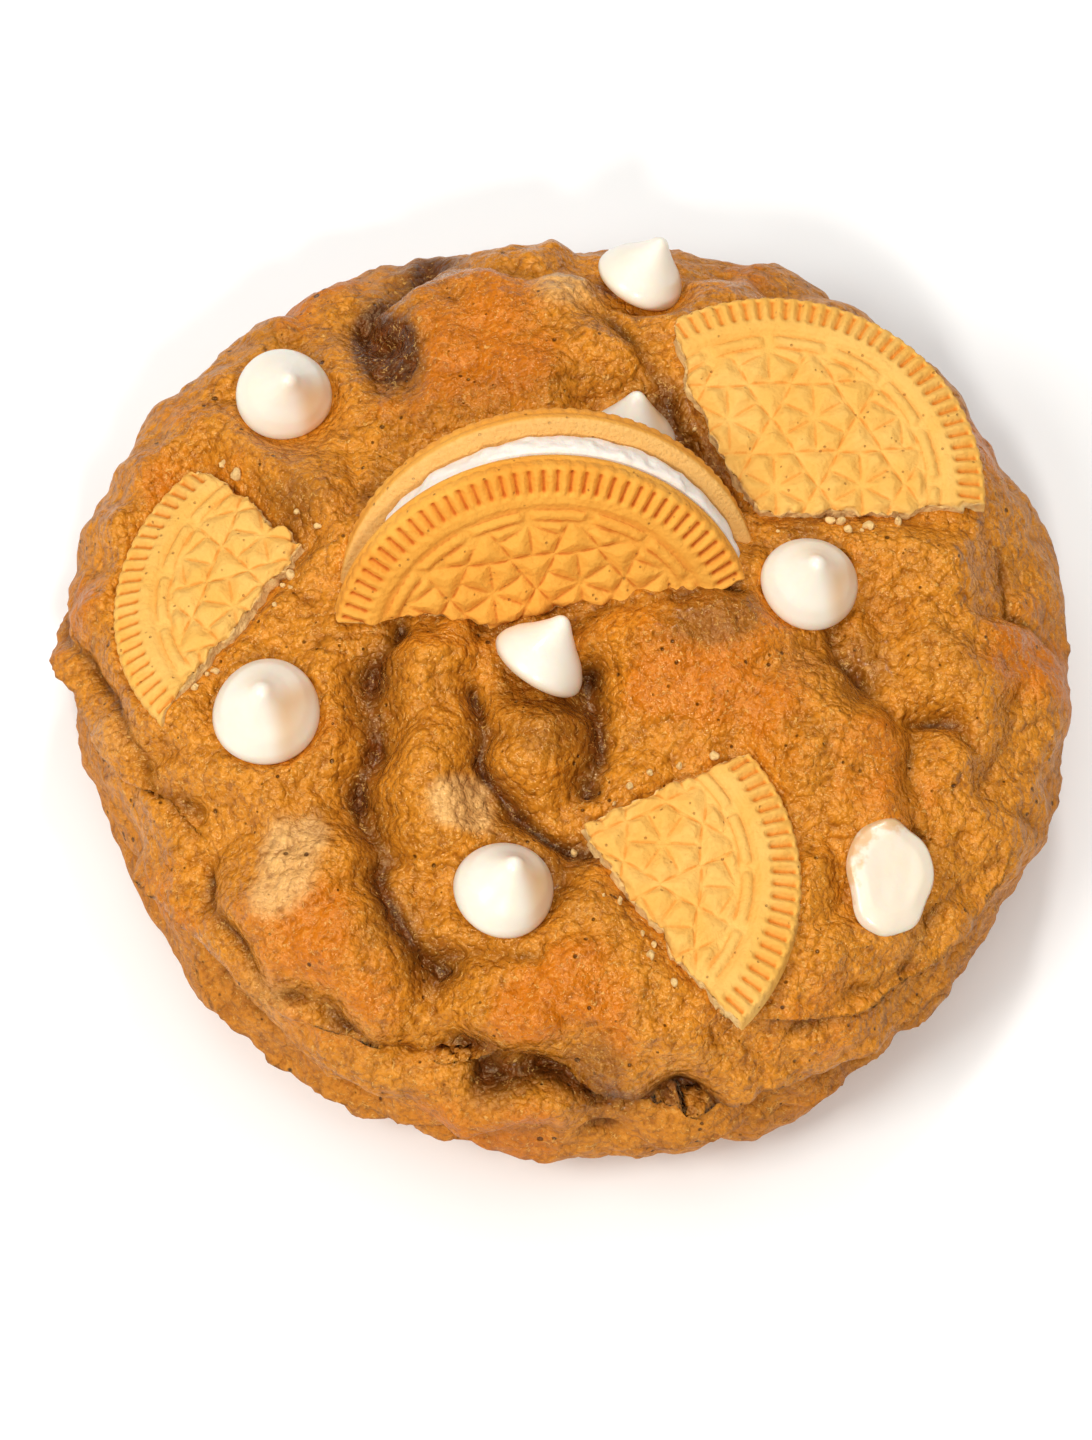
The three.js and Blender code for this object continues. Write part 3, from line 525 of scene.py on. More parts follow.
def fold_over(points, normal, bearing, reach):
    """Rolls the crust out over its folds. Also gives how much painted shade falls under each fold.
    """
    moved = points.copy()
    under = np.zeros(len(points))
    degrees = np.degrees(bearing)
    for index, (overhang, width, line) in enumerate(FOLDS.values()):
        bearings, reaches = np.array(line, float).T
        bearings = np.degrees(np.unwrap(np.radians(bearings)))
        turn = bearings[0] + (degrees - bearings[0] + 60) % 360 - 60
        edge = np.interp(turn, bearings, reaches) \
            + 0.5 * lumps(points, 8, 61 + index) + 0.2 * lumps(points, 2.5, 71 + index)
        above = edge - reach
        strength = smooth(turn, bearings[0] - 1, bearings[0] + FOLD_END) \
            * smooth(turn, bearings[-1] + 1, bearings[-1] - FOLD_END) \
            * (1 + 0.2 * lumps(points, 6, 81 + index))
        below = np.clip(-above, 0, None)
        roll = smooth(above, -0.25, 0.35) * np.clip(1 - above / width, 0, 1) ** 1.3
        tucked = smooth(above, 0.25, -0.35) * np.exp(-below / (0.3 * width))
        out = normal * [1, 1, 0.35] - [0, 0, 0.35]
        moved += (overhang * strength * (roll - 0.85 * tucked))[:, None] * out
        shaded = smooth(above, 0.1, -0.3) * np.exp(-below / 0.9) * min(1, overhang / 1.8)
        under = np.maximum(under, strength * shaded)
    return moved, under


def split_icosahedron(splits):
    """Points spread evenly over a ball, and the triangles between them."""
    ball = bmesh.new()
    bmesh.ops.create_icosphere(ball, subdivisions=1, radius=1)
    corners = np.array([[vert.co[:] for vert in face.verts] for face in ball.faces])
    ball.free()
    steps = [(i, j) for i in range(splits + 1) for j in range(splits + 1 - i)]
    number = {step: index for index, step in enumerate(steps)}
    share = np.array([(splits - i - j, i, j) for i, j in steps]) / splits
    points = np.einsum("ps,fsc->fpc", share, corners).reshape(-1, 3)
    upward = [(number[i, j], number[i + 1, j], number[i, j + 1])
              for i in range(splits) for j in range(splits - i)]
    downward = [(number[i + 1, j], number[i + 1, j + 1], number[i, j + 1])
                for i in range(splits - 1) for j in range(splits - 1 - i)]
    triangles = np.array(upward + downward)
    sheets = len(steps) * np.arange(len(corners))[:, None, None]
    faces = (triangles + sheets).reshape(-1, 3)
    _, first, same = np.unique(
        np.round(points, 6), axis=0, return_index=True, return_inverse=True)
    points = points[first]
    return points / np.linalg.norm(points, axis=1, keepdims=True), same.reshape(-1)[faces]


def press(points, centre, lean, towards, thickest, limit):
    """Presses the crust down to a limit over a topping's base, where it isn't far above."""
    turn = turned(lean, towards)
    local = (points - centre) @ turn
    over = (local[:, 2] - limit(local[:, 0], local[:, 1])) / LIP_SOFTNESS
    near = (over > -8) & (over < thickest)
    local[:, 2] -= np.where(near, LIP_SOFTNESS * np.logaddexp(0, np.minimum(over, thickest)), 0)
    return local @ turn.T + centre


def settle(points):
    """Presses the crust down round the toppings, so that their edges show."""
    for centre, lean, towards, _, broken in WAFER_PIECES.values():
        corners = kept_corners(broken[1:-1], WAFER_RADIUS)
        points = press(points, centre, lean, towards, 30, lambda x, y: (
            LIP_SLOPE * distance_outside(corners, x, y) - SHOWN_EDGE))
    for centre, lean, towards, size in DROPS.values():
        points = press(points, centre, min(lean, BED_LEAN), towards, 14, lambda x, y: (
            DROP_SINK + DROP_LIP_SLOPE * np.maximum(0, np.hypot(x, y) - DROP_RADIUS * size)))
    return points


ball_points, dough_faces = split_icosahedron(DOUGH_SPLITS)
bearing = np.arctan2(ball_points[:, 1], ball_points[:, 0])
reach = np.interp((1 - ball_points[:, 2]) / 2, outline_share, outline_reach)
base = crust_point(bearing, reach)
normal = crust_normal(bearing, reach)
moved = wander(base, 0.45, 0.7, 0.5)

relief, puff_edges = puff_height(wander(base, 0.32, 1.5, 0))
for half, height, line in SWELLINGS.values():
    relief = relief + height * np.maximum(0, 1 - (distance_to(line, moved) / half) ** 2) ** 1.1
sunk = np.zeros(len(base))
cleft = np.zeros(len(base))
for half, depth, line in CREASES.values():
    away = distance_to(line, moved) / half
    narrow = depth * np.exp(-(away / 0.8) ** 1.2)
    cleft = np.maximum(cleft, narrow)
    sunk += 0.4 * depth * np.exp(-(away / 2.4) ** 1.6)
sunk += 0.8 * cleft
relief -= sunk
steep = np.minimum(1, 1.3 * (1 - normal[:, 2] ** 2))
for middle, width, height in RIM_LOBES:
    apart = (np.degrees(bearing) - middle + 180) % 360 - 180
    relief += height * np.exp(-(apart / width) ** 2) * steep
pebbles = 0.6 * lumps(base, 5.5, 11) + 0.42 * lumps(base, 2.6, 12)
wrinkles = np.abs(lumps(wander(base, 0.9, 0.4, 0), 1.5, 13))
relief += pebbles + 0.3 * (wrinkles - 0.3) + 0.12 * lumps(base, 0.8, 14)
relief *= np.clip((normal[:, 2] + 0.9) / 0.5, 0, 1)

folded, under = fold_over(base + normal * relief[:, None], normal, bearing, reach)
dough_points = settle(folded)
dough_points[:, 2] = np.where(base[:, 2] < 0.02, 0, np.maximum(0, dough_points[:, 2]))

crust = Finish("caramel_crust", {
    "Specular IOR Level": 0.62, "Specular Tint": (1.0, 0.74, 0.4, 1.0), "Coat Roughness": 0.15})
side = crust.attribute("side")
mottle = crust.noise(7.0, detail=3, roughness=0.55)
freckle_and_shade = crust.noise(1.3, detail=3, roughness=0.6)
grain_and_shading = crust.noise(0.5, detail=2, roughness=0.55, distortion=0.6)
large_pebbles = crust.cells(2.4, warp=1.4)
small_pebbles = crust.cells(0.95, warp=0.7, seed=0.3)
toasted = crust.rise(
    crust.attribute("toast") + (mottle - 0.5) * 1.1 + (freckle_and_shade - 0.5) * 0.7, 0.15, 0.85)
# Damp: greasier dough in the valleys, darker partly from painted shade.
damp_and_shade_share = crust.rise(
    crust.attribute("damp_and_shade") + (mottle - 0.5) * 0.9 + (freckle_and_shade - 0.5) * 0.8, 0.2, 0.9)
paled = crust.rise(
    crust.attribute("pale") + (freckle_and_shade - 0.5) * 0.4 + (mottle - 0.5) * 0.4, 0.2, 1.0)
lumpy = 1 - toasted * 0.55
# Tiny sunk pits, coloured dark with painted shade.
shaded_pores = 1 - crust.rise(crust.cells(1.7) + (0.62 - crust.noise(4.0, detail=1)) * 0.5, 0.06, 0.16)
# Short curly light strokes: painted glints on the greasy crust.
painted_glints = crust.rise(abs(crust.noise(0.85, detail=1, distortion=0.8) - 0.5), 0.03, 0.008) \
    * crust.rise(crust.noise(0.6, detail=1), 0.52, 0.6)
crust_color = crust.layered(
    crust.blend(toasted, paint(211, 132, 32), paint(205, 112, 12)),
    (crust.rise(side, 0.35, 1.0) * 0.35, (178, 100, 12)),
    (damp_and_shade_share * 0.85, (146, 86, 16)),
    (paled * 0.75, (238, 186, 116)),
    # Painted shade in the grain's low spots, and a painted highlight on its high spots.
    (crust.rise(grain_and_shading, 0.47, 0.32) * 0.3, (118, 52, 6)),
    (crust.rise(grain_and_shading, 0.54, 0.7) * 0.3, (240, 170, 76)),
    # Painted shade, near black: in the creases, between the puffs, under the folds and in the back
    # hollow.
    (crust.rise(crust.attribute("hollow"), 0.15, 1.0) * 0.9, (66, 24, 2)),
    # Painted shade in the sunk lines between the small and large pebbles.
    (crust.rise(small_pebbles, 0.45, 0.75) * lumpy * 0.26, (132, 62, 6)),
    (crust.rise(large_pebbles, 0.5, 0.8) * lumpy * 0.2, (132, 62, 6)),
    # Painted shade in the low spots of the fine relief.
    (crust.rise(freckle_and_shade, 0.48, 0.3) * 0.45, (124, 56, 6)),
    (shaded_pores * 0.8, (60, 24, 6)),
    (painted_glints * 0.5, (248, 192, 104)))
crust_relief = (freckle_and_shade * 0.34 + crust.noise(2.6, detail=2) * 0.3 + grain_and_shading * 0.16 - shaded_pores * 0.3
                - small_pebbles * small_pebbles * lumpy * 0.34
                - large_pebbles * large_pebbles * lumpy * 0.4 + painted_glints * 0.05)
crust_finish = crust.show(
    color=crust_color, relief=crust_relief, coat=damp_and_shade_share * 0.12,
    roughness=0.2 + side * 0.4 + (grain_and_shading - 0.5) * 0.2)

make_piece("dough_round", dough_points, dough_faces.tolist(), crust_finish, "dough", {
    "toast": patch_mask(TOASTED, moved) * np.clip(1 - sunk / 2, 0, 1) + 0.3 * pebbles,
    # Damp: greasy dough, and painted shade in the sunk valleys.
    "damp_and_shade": np.maximum(patch_mask(DAMP_AND_SHADE, moved), np.clip(sunk / 4, 0, 0.8)) - 0.6 * pebbles,
    "pale": patch_mask(PALE, moved),
    # Where painted shade goes: the creases, the puff edges, the crevices under the folds and the
    # back hollow.
    "hollow": np.clip(cleft / 2.6, 0, 1.1) + 0.15 * puff_edges ** 2 + 1.1 * under
    + patch_mask(PAINTED_HOLLOW_SHADOW, moved),
    "side": np.clip(1 - normal[:, 2], 0, 1),
})

# The wafers -----------------------------------------------
# Golden sandwich-biscuit wafers, stamped with a ridged rim, a ring of bars and rosettes,
# then snapped by hand: dry and sandy, pale and crumbly where they are broken. Three
# single pieces lie flat, and two make the half sandwich that stands in the middle.

PLATE_THICKNESS = 3.0
EMBOSS_HEIGHT = 0.75
RIM_TEETH = 90
RIM_GROOVE = 0.7
RIM_FALL = 0.75  # how much lower the rim's outer edge lies
LEDGE_RADIUS = 18.1  # the plain ledge that the rim's grooves are cut into
LEDGE_HEIGHT = 0.4
GROOVE_RADIUS = 19.4
TOOTH_DEPTH = 0.13
RING_RADIUS = 16.9
RING_WIDTH = 1.1
RING_BARS = 16
FIELD_RADIUS = 16.1  # the rosettes fill the ground inside it
ROSETTE_SPACING = 9.2
ROSETTE_ROWS = 7
PETALS = 6
PETAL_INNER, PETAL_WIDEST, PETAL_OUTER = 0.3, 3.2, 4.45
PETAL_WIDTH = 3.5
PETAL_SLOPE = 1.15  # how far in from its edge a petal or a stud reaches its full height
STUD_RADIUS = 2.7  # the small three-sided studs between the rosettes
WAFER_SPOKES = 560
WAFER_RINGS = 90

# Steps of a wafer's edge, from its face down to its back: how far inside the outline at
# the rim, how far inside it at a break, how deep, and how much of the pattern is left.
EDGE_STEPS = [
    (0.62, 0.30, 0.05, 0.95), (0.38, 0.14, 0.16, 0.8), (0.20, 0.05, 0.34, 0.6),
    (0.08, 0.02, 0.6, 0.4), (0.03, 0.0, 0.95, 0.2), (0.03, 0.0, 1.3, 0.0),
    (0.05, 0.0, 1.65, 0.0), (0.16, 0.0, 1.88, 0.0), (0.02, 0.0, 2.05, 0.0),
    (0.0, 0.0, 2.35, 0.0), (0.0, 0.02, 2.65, 0.0), (0.14, 0.1, 2.88, 0.0), (0.5, 0.3, 3.0, 0.0),
]
BACK_SHARES = [0.85, 0.6, 0.3]


def pattern(x, y):
    """Height of the stamped pattern over a wafer's flat ground."""
    away = np.hypot(x, y)
    turn = np.arctan2(y, x)
    groove = 1 - np.abs(np.sin(RIM_TEETH * turn / 2)) ** 1.3
    groove *= smooth(away, GROOVE_RADIUS - 0.3, GROOVE_RADIUS + 0.5) \
        * smooth(away, WAFER_RADIUS - 0.1, WAFER_RADIUS - 0.8)
    fall = RIM_FALL * np.clip((away - GROOVE_RADIUS) / (WAFER_RADIUS - GROOVE_RADIUS), 0, 1) ** 1.7
    height = LEDGE_HEIGHT * smooth(away, LEDGE_RADIUS - 0.3, LEDGE_RADIUS + 0.3)
    height -= RIM_GROOVE * groove + fall
    across = np.clip(1 - ((away - RING_RADIUS) / (RING_WIDTH / 2)) ** 2, 0, 1)
    along = np.abs((turn * RING_BARS / math.tau) % 1 - 0.5)
    height += 0.7 * EMBOSS_HEIGHT * np.sqrt(across) * smooth(along, 0.47, 0.36)
    field = EMBOSS_HEIGHT * smooth(away, FIELD_RADIUS, FIELD_RADIUS - 0.7)
    row = ROSETTE_SPACING * math.sqrt(3) / 2
    spoke = math.tau / PETALS
    for i, j in np.array([*np.ndindex(ROSETTE_ROWS, ROSETTE_ROWS)]) - ROSETTE_ROWS // 2:
        middle_x, middle_y = ROSETTE_SPACING * (i + j / 2), row * j
        if math.hypot(middle_x, middle_y) > FIELD_RADIUS + PETAL_OUTER:
            continue
        out = np.hypot(x - middle_x, y - middle_y)
        around = (np.arctan2(y - middle_y, x - middle_x) + spoke / 2) % spoke - spoke / 2
        along, across = out * np.cos(around), np.abs(out * np.sin(around))
        widening = (along - PETAL_INNER) / (PETAL_WIDEST - PETAL_INNER)
        narrowing = (PETAL_OUTER - along) / (PETAL_OUTER - PETAL_WIDEST)
        rooms = [PETAL_WIDTH / 2 * np.minimum(widening, narrowing) - across]
        for way in (-1, 1):
            stud_y = middle_y + way * ROSETTE_SPACING / math.sqrt(3)
            edges = [math.cos(a) * (x - middle_x) + way * math.sin(a) * (y - stud_y)
                     for a in np.radians([-90, 30, 150])]
            rooms.append(STUD_RADIUS / 2 - np.max(edges, axis=0))
        for room in rooms:
            height += field * np.clip(room / PETAL_SLOPE, 0, 1) ** 0.7
    return height


def reach_of_outline(corners, middle, rays):
    """How far from the middle each ray meets the outline."""
    ray_x, ray_y = rays.T[..., None]
    x, y = (corners - middle).T
    run, rise = (np.roll(corners, -1, axis=0) - corners).T
    turn = ray_x * rise - ray_y * run
    turn = np.where(np.abs(turn) < 1e-9, 1e-9, turn)
    out = (x * rise - y * run) / turn
    part = (x * ray_y - y * ray_x) / turn
    hit = (part > -1e-6) & (part < 1 + 1e-6) & (out > 0)
    return np.where(hit, out, np.inf).min(axis=1)


def reach_of_rim(radius, middle, rays):
    """How far from the middle each ray meets the round's rim."""
    aim = rays @ middle
    return np.sqrt(radius ** 2 - middle @ middle + aim ** 2) - aim


def length_along(line):
    return running_sum(np.linalg.norm(np.diff(line, axis=0), axis=1))


def skin_points(first, x, y, z, last):
    """Points of a closed skin: a middle point, rings round it, and a last point."""
    return np.vstack([first, np.stack([x, y, z], axis=2).reshape(-1, 3), last])


def skin_faces(rings, spokes, turned_over=False):
    """Faces of a closed skin, looking up from its first point or, turned over, down."""
    ring = np.arange(rings - 1)[:, None] * spokes + 1
    here, there = np.arange(spokes), np.roll(np.arange(spokes), -1)
    quads = np.stack([ring + here, ring + spokes + here, ring + spokes + there, ring + there],
                     axis=2).reshape(-1, 4)
    last = 1 + rings * spokes
    inner = np.stack([np.zeros(spokes, int), 1 + here, 1 + there], axis=1)
    outer = np.stack([np.full(spokes, last), last - spokes + there, last - spokes + here], axis=1)
    way = -1 if turned_over else 1
    return sum((part[:, ::way].tolist() for part in (quads, inner, outer)), [])


def make_wafer(name, centre, lean, towards, spin, broken, middle, seed, finish,
               back=None, slip=(0, 0)):
    """A broken wafer. As the back of a sandwich it faces away, its inner side at a level."""
    middle = np.array(middle, float) - slip
    corners = kept_corners(broken, WAFER_RADIUS + 8) - slip

    def outline_towards(angles):
        rays = on_circle(angles)
        return (rays, reach_of_outline(corners, middle, rays),
                reach_of_rim(WAFER_RADIUS, middle, rays))

    angles = np.linspace(0, math.tau, 4001)
    rays, to_break, to_rim = outline_towards(angles)
    along = length_along(rays * np.minimum(to_rim, to_break)[:, None])
    even = along[-1] * np.arange(WAFER_SPOKES) / WAFER_SPOKES
    rays, to_break, to_rim = outline_towards(np.interp(even, along, angles))
    spots = np.column_stack([middle + rays * to_break[:, None], np.zeros(WAFER_SPOKES)])
    ragged = 0.5 * lumps(spots, 2.4, seed) + 0.28 * lumps(spots, 0.9, seed + 1)
    at_break = smooth(to_rim - to_break, -0.3, 0.9)
    outline = np.minimum(to_rim, to_break + np.minimum(ragged, 0.35))

    at_rim, broken_off, depth, pattern_left = np.array(EDGE_STEPS).T[..., None]
    edge = at_rim * (1 - at_break) + broken_off * at_break
    shares = np.linspace(0, 1, WAFER_RINGS + 1)[1:, None]
    back_shares = np.array(BACK_SHARES)[:, None]
    rows = np.vstack([(outline - edge[0] - 0.25) * shares, outline - edge, outline * back_shares])
    depths = np.vstack([0 * shares, depth, PLATE_THICKNESS + 0 * back_shares])
    left = np.vstack([1 + 0 * shares, pattern_left, 0 * back_shares])
    x, y = np.moveaxis(middle + rows[:, :, None] * rays, -1, 0)

    mirrored = 1 if back is None else -1
    cos, sin = on_circle(math.radians(spin))

    def in_pattern(x, y):
        return mirrored * (cos * x + sin * y), cos * y - sin * x

    height = pattern(*in_pattern(x, y))
    probes = 0.45 * on_circle(np.arange(8) * math.pi / 4)
    around = sum(pattern(*in_pattern(x + dx, y + dy)) for dx, dy in probes) / len(probes)
    z = left * height - depths
    spots = np.column_stack([x.ravel(), y.ravel(), z.ravel()])

    def uneven(size, number):
        return lumps(spots, size, seed + number).reshape(rows.shape)

    shallow = left == 1.0
    z += shallow * 0.4 * smooth(np.hypot(x, y), 18.8, 18.2) * (around - height)
    z += shallow * (0.07 * uneven(1.1, 2) + 0.05 * uneven(0.45, 3))
    chips = at_break * smooth(outline - rows, 1.0, 0.1) * (depths < 0.3)
    z -= chips * (0.3 + 0.5 * uneven(1.3, 4)).clip(0)
    crumbly = at_break * (depths > 0.1) * (depths < 2.95) \
        * (0.38 * uneven(1.3, 5) + 0.3 * uneven(0.55, 6) - 0.1)
    x = x + crumbly * rays[:, 0]
    y = y + crumbly * rays[:, 1]

    out = np.hypot(x, y)
    pattern_x, pattern_y = in_pattern(x, y)
    tooth = 0.5 - 0.5 * np.cos(RIM_TEETH * np.arctan2(pattern_y, pattern_x))
    notch = 1 - TOOTH_DEPTH * smooth(tooth, 0.6, 0.1) * smooth(out, 21.4, 22.3) \
        * smooth(depths, 1.95, 1.5) / out
    points = skin_points([*middle, pattern(*in_pattern(*middle))], x * notch, y * notch, z,
                         [*middle, -PLATE_THICKNESS])
    if back is not None:
        points[:, 2] = back - PLATE_THICKNESS - points[:, 2]
    crumb = at_break * smooth(depths, 0.12, 0.5) * smooth(depths, 2.95, 2.6)
    rim = smooth(out, 19.0, 22.4) * (1 - 0.6 * at_break) * smooth(depths, 2.9, 1.8)
    # The groove mark tells how far a point lies below its neighbours, for painted shade in the
    # stamped hollows.
    marks = {"groove": (left * (around - height), 0), "rim": (rim, 0),
             "crumb": (np.maximum(crumb, 0.5 * smooth(depths, 2.6, 2.95)), 0.5)}
    make_piece(
        name + "_wafer", placed(points + [*slip, 0], centre, lean, towards),
        skin_faces(len(rows), WAFER_SPOKES, back is not None), finish, name,
        {mark: np.concatenate([[0], values.ravel(), [last]])
         for mark, (values, last) in marks.items()})


def biscuit_finish(name, pale_color, groove_color, rim_color, ground_color):
    """Dry golden biscuit, darker in the stamped grooves with painted shade, browner at the rim,
    pale where broken.
    """
    biscuit = Finish(name, {"Specular IOR Level": 0.3})
    crumb = biscuit.attribute("crumb")
    mottle = biscuit.noise(5.0, detail=3)
    sand = biscuit.noise(0.45, detail=3, roughness=0.65)
    specks = 1 - biscuit.rise(biscuit.cells(1.6), 0.05, 0.12)
    groove_shade = biscuit.attribute("groove") + (sand - 0.5) * 0.1
    color = biscuit.layered(
        biscuit.blend(biscuit.rise(mottle, 0.35, 0.65), paint(*pale_color), paint(*ground_color)),
        (biscuit.attribute("rim") * 0.55 * biscuit.rise(mottle, 0.3, 0.6), rim_color),
        # Painted shade in the stamped grooves.
        (biscuit.rise(groove_shade, 0.04, 0.34), groove_color),
        (biscuit.rise(sand, 0.55, 0.8) * 0.25, groove_color),
        (specks * 0.55, (150, 84, 30)))
    broken_color = biscuit.blend(sand, paint(244, 212, 150), paint(222, 172, 96))
    relief = sand * 0.14 + biscuit.noise(1.6, detail=2) * 0.22 + crumb * sand * 0.25 \
        - specks * 0.12
    return biscuit.show(color=biscuit.blend(crumb, color, broken_color), relief=relief,
                        roughness=0.62 + sand * 0.2)


pale_biscuit = biscuit_finish(
    "pale_biscuit", (235, 182, 93), (212, 128, 34), (236, 172, 70), (232, 174, 80))
WAFER_MIDDLES = {
    "biscuit_left": (-12, 3), "biscuit_right": (8, 9), "biscuit_front": (13, 2)}
for index, (name, piece) in enumerate(WAFER_PIECES.items()):
    make_wafer(name, *piece, WAFER_MIDDLES[name], 100 * (index + 1), pale_biscuit)

# The crumbs -----------------------------------------------
# Crumbs that fell from the breaks when the wafers were snapped: the same dry biscuit,
# lying loose on the crust a millimetre or two from each break.

CRUMBS_PER_BREAK = 12
CRUMB_RADII = (0.2, 0.55)
CRUMB_REACH = (0.8, 2.6)  # how far from the break they lie
CRUMB_SINK = 0.3  # share of its radius that a crumb sinks in

crust_surface = BVHTree.FromPolygons(dough_points.tolist(), dough_faces.tolist())
crumb_ball, ball_faces = split_icosahedron(4)
draw = np.random.default_rng(7)
crumb_points, crumb_faces = [], []
for name, (centre, lean, towards, _, broken) in WAFER_PIECES.items():
    line = np.array(broken[1:-1], float)
    for index in range(CRUMBS_PER_BREAK):
        start = draw.integers(len(line) - 1)
        spot = line[start] + (line[start + 1] - line[start]) * draw.random()
        away = spot - WAFER_MIDDLES[name]
        spot = spot + away / np.linalg.norm(away) * draw.uniform(*CRUMB_REACH)
        over = turned(lean, towards) @ [*spot, 0] + centre
        landing = crust_surface.ray_cast((over[0], over[1], 60), (0, 0, -1))[0]
        radius = draw.uniform(*CRUMB_RADII)
        shape = radius * draw.uniform(0.7, 1.2, 3) * crumb_ball \
            * (1 + 0.45 * lumps(crumb_ball + 9 * index, 0.9, 41))[:, None]
        crumb_faces.append(ball_faces + len(crumb_ball) * len(crumb_points))
        crumb_points.append(shape + landing[:] + [0, 0, (1 - CRUMB_SINK) * radius * 0.8])
crumb_points = np.vstack(crumb_points)
none, full = np.zeros(len(crumb_points)), np.ones(len(crumb_points))
make_piece("biscuit_crumbs", crumb_points, np.vstack(crumb_faces).tolist(), pale_biscuit,
           marks={"groove": none, "crumb": full, "rim": none})

# The half sandwich ----------------------------------------
# Half of a whole sandwich biscuit: two wafers with a thick layer of white creme between,
# snapped across and stood on its broken edge, leaning back.

SANDWICH_PLACE = ((-2.2, -1.7, 24.0), 58, -84)  # middle of the front face, lean, towards
SANDWICH_SPIN = 9
SANDWICH_BROKEN = [
    (-24.6, 3.9), (-18.6, 3.4), (-15.4, 4.3), (-9.1, 4.0), (-5.9, 2.8), (-2.8, 4.0),
    (3.4, 5.9), (9.7, 6.4), (16.0, 6.7), (23, 9.6)]
SANDWICH_MIDDLE = (0, 12)
SLIP = (0.9, 2.1)  # how far the creme and back wafer slipped behind the front one
CREME_RADIUS = 20.9
CREME_THICKNESS = 3.0
FIT_GAP = 0.3
CREME_SPOKES = 420
CREME_STEPS = 17  # rows of its edge, from top to bottom

toasted_biscuit = biscuit_finish(
    "toasted_biscuit", (240, 170, 66), (200, 100, 12), (232, 146, 40), (238, 164, 60))
creme_top = -PLATE_THICKNESS - FIT_GAP
creme_bottom = creme_top - CREME_THICKNESS
make_wafer("half_front", *SANDWICH_PLACE, SANDWICH_SPIN, SANDWICH_BROKEN, SANDWICH_MIDDLE, 400,
           toasted_biscuit)
make_wafer("half_back", *SANDWICH_PLACE, SANDWICH_SPIN + 3, SANDWICH_BROKEN, SANDWICH_MIDDLE, 402,
           toasted_biscuit, back=creme_bottom - FIT_GAP, slip=SLIP)

rays = on_circle(math.tau * np.arange(CREME_SPOKES) / CREME_SPOKES)
middle = np.array(SANDWICH_MIDDLE, float) - SLIP
corners = kept_corners(SANDWICH_BROKEN, WAFER_RADIUS + 8) - SLIP
outline = np.minimum(reach_of_rim(CREME_RADIUS, middle, rays),
                     reach_of_outline(corners, middle, rays))
rows = []
depths = np.linspace(0, 1, CREME_STEPS)
for depth in depths:
    edge = outline - 0.55 * (1 - math.sin(math.pi * depth) ** 0.5)
    spots = np.column_stack([rays * edge[:, None], np.full(CREME_SPOKES, depth * 3)])
    rows.append(edge + 0.28 * lumps(spots, 1.7, 31) + 0.12 * lumps(spots, 0.8, 32))
rows = np.array([outline * 0.4, outline * 0.8, *rows, outline * 0.8, outline * 0.4])
levels = creme_top - CREME_THICKNESS * np.array([0, 0, *depths, 1, 1])[:, None]
x, y = np.moveaxis(middle + rows[:, :, None] * rays, -1, 0)
points = skin_points([*middle, creme_top], x, y, levels + 0 * x, [*middle, creme_bottom])

creme = Finish("white_creme", {
    "Specular IOR Level": 0.4, "Subsurface Weight": 0.25, "Subsurface Scale": 0.001})
creme_mottle = creme.noise(1.2, detail=3)
creme_finish = creme.show(
    color=creme.blend(creme_mottle, paint(244, 236, 228), paint(234, 222, 208)),
    roughness=0.45 + creme_mottle * 0.2,
    relief=creme_mottle * 0.18 + creme.noise(0.4, detail=2) * 0.05)
make_piece("creme_layer", placed(points + [*SLIP, 0], *SANDWICH_PLACE),
           skin_faces(len(rows), CREME_SPOKES), creme_finish, "half_creme")

# The drops ------------------------------------------------
# Piped drops of white chocolate with a drawn-up tip, pressed base down into the warm
# dough. They kept their shape and gloss; one melted and set as a flat, smeared disc.

DROP_HEIGHT = 7.0
DROP_PROFILE = [  # shares of the radius and of the height
    (0, 0), (0.9, 0), (1, 0.1), (0.95, 0.25), (0.77, 0.44), (0.51, 0.62), (0.29, 0.8),
    (0.14, 0.95), (0, 1)]
DROP_SPOKES = 84
DROP_ROWS = 56
BEND_TURN = 2.4  # how far round the next drop's tip is bent, in radians
SHADED_SIDE, SHADE_ACROSS = [0.94, -0.3, 0], [0.3, 0.94, 0]
FLAT_DROP = ((33.2, -27.2, 22.8), 19, 319)
FLAT_LENGTH, FLAT_WIDTH, FLAT_HEIGHT = 12.6, 9.4, 2.4
FLAT_PROFILE = [(0, 0), (0.85, 0), (1, 0.4), (0.92, 0.78), (0.66, 1), (0, 0.92)]
drop_angles = math.tau * np.arange(DROP_SPOKES) / DROP_SPOKES


def eased_profile(profile, rows, softness):
    """A profile's points, evenly spaced along it and with its corners rounded off."""
    profile = np.array(profile)
    length = length_along(profile)
    fine = np.linspace(0, length[-1], 400)
    line = np.stack([np.interp(fine, length, profile[:, axis]) for axis in (0, 1)], axis=1)
    padded = np.vstack([np.repeat(line[:1], softness, axis=0), line,
                        np.repeat(line[-1:], softness, axis=0)])
    window = np.hanning(2 * softness + 1)
    eased = np.stack([np.convolve(padded[:, axis], window / window.sum(), "valid")
                      for axis in (0, 1)], axis=1)
    eased[0, 0] = eased[-1, 0] = 0
    return eased[np.linspace(0, len(eased) - 1, rows).astype(int)]


def drop_points(profile, sizes, uneven, bend, tip):
    """Points of a drop, with its profile drawn to its sizes and its top bent aside."""
    reach, level = profile[1:-1].T[..., None]
    x = sizes[0] * reach * uneven * np.cos(drop_angles) + bend[0] * level ** 3
    y = sizes[1] * reach * uneven * np.sin(drop_angles) + bend[1] * level ** 3
    top = [*bend * level[-1] ** 3, tip]
    return skin_points([0, 0, 0], x, y, sizes[2] * level + 0 * x, top)


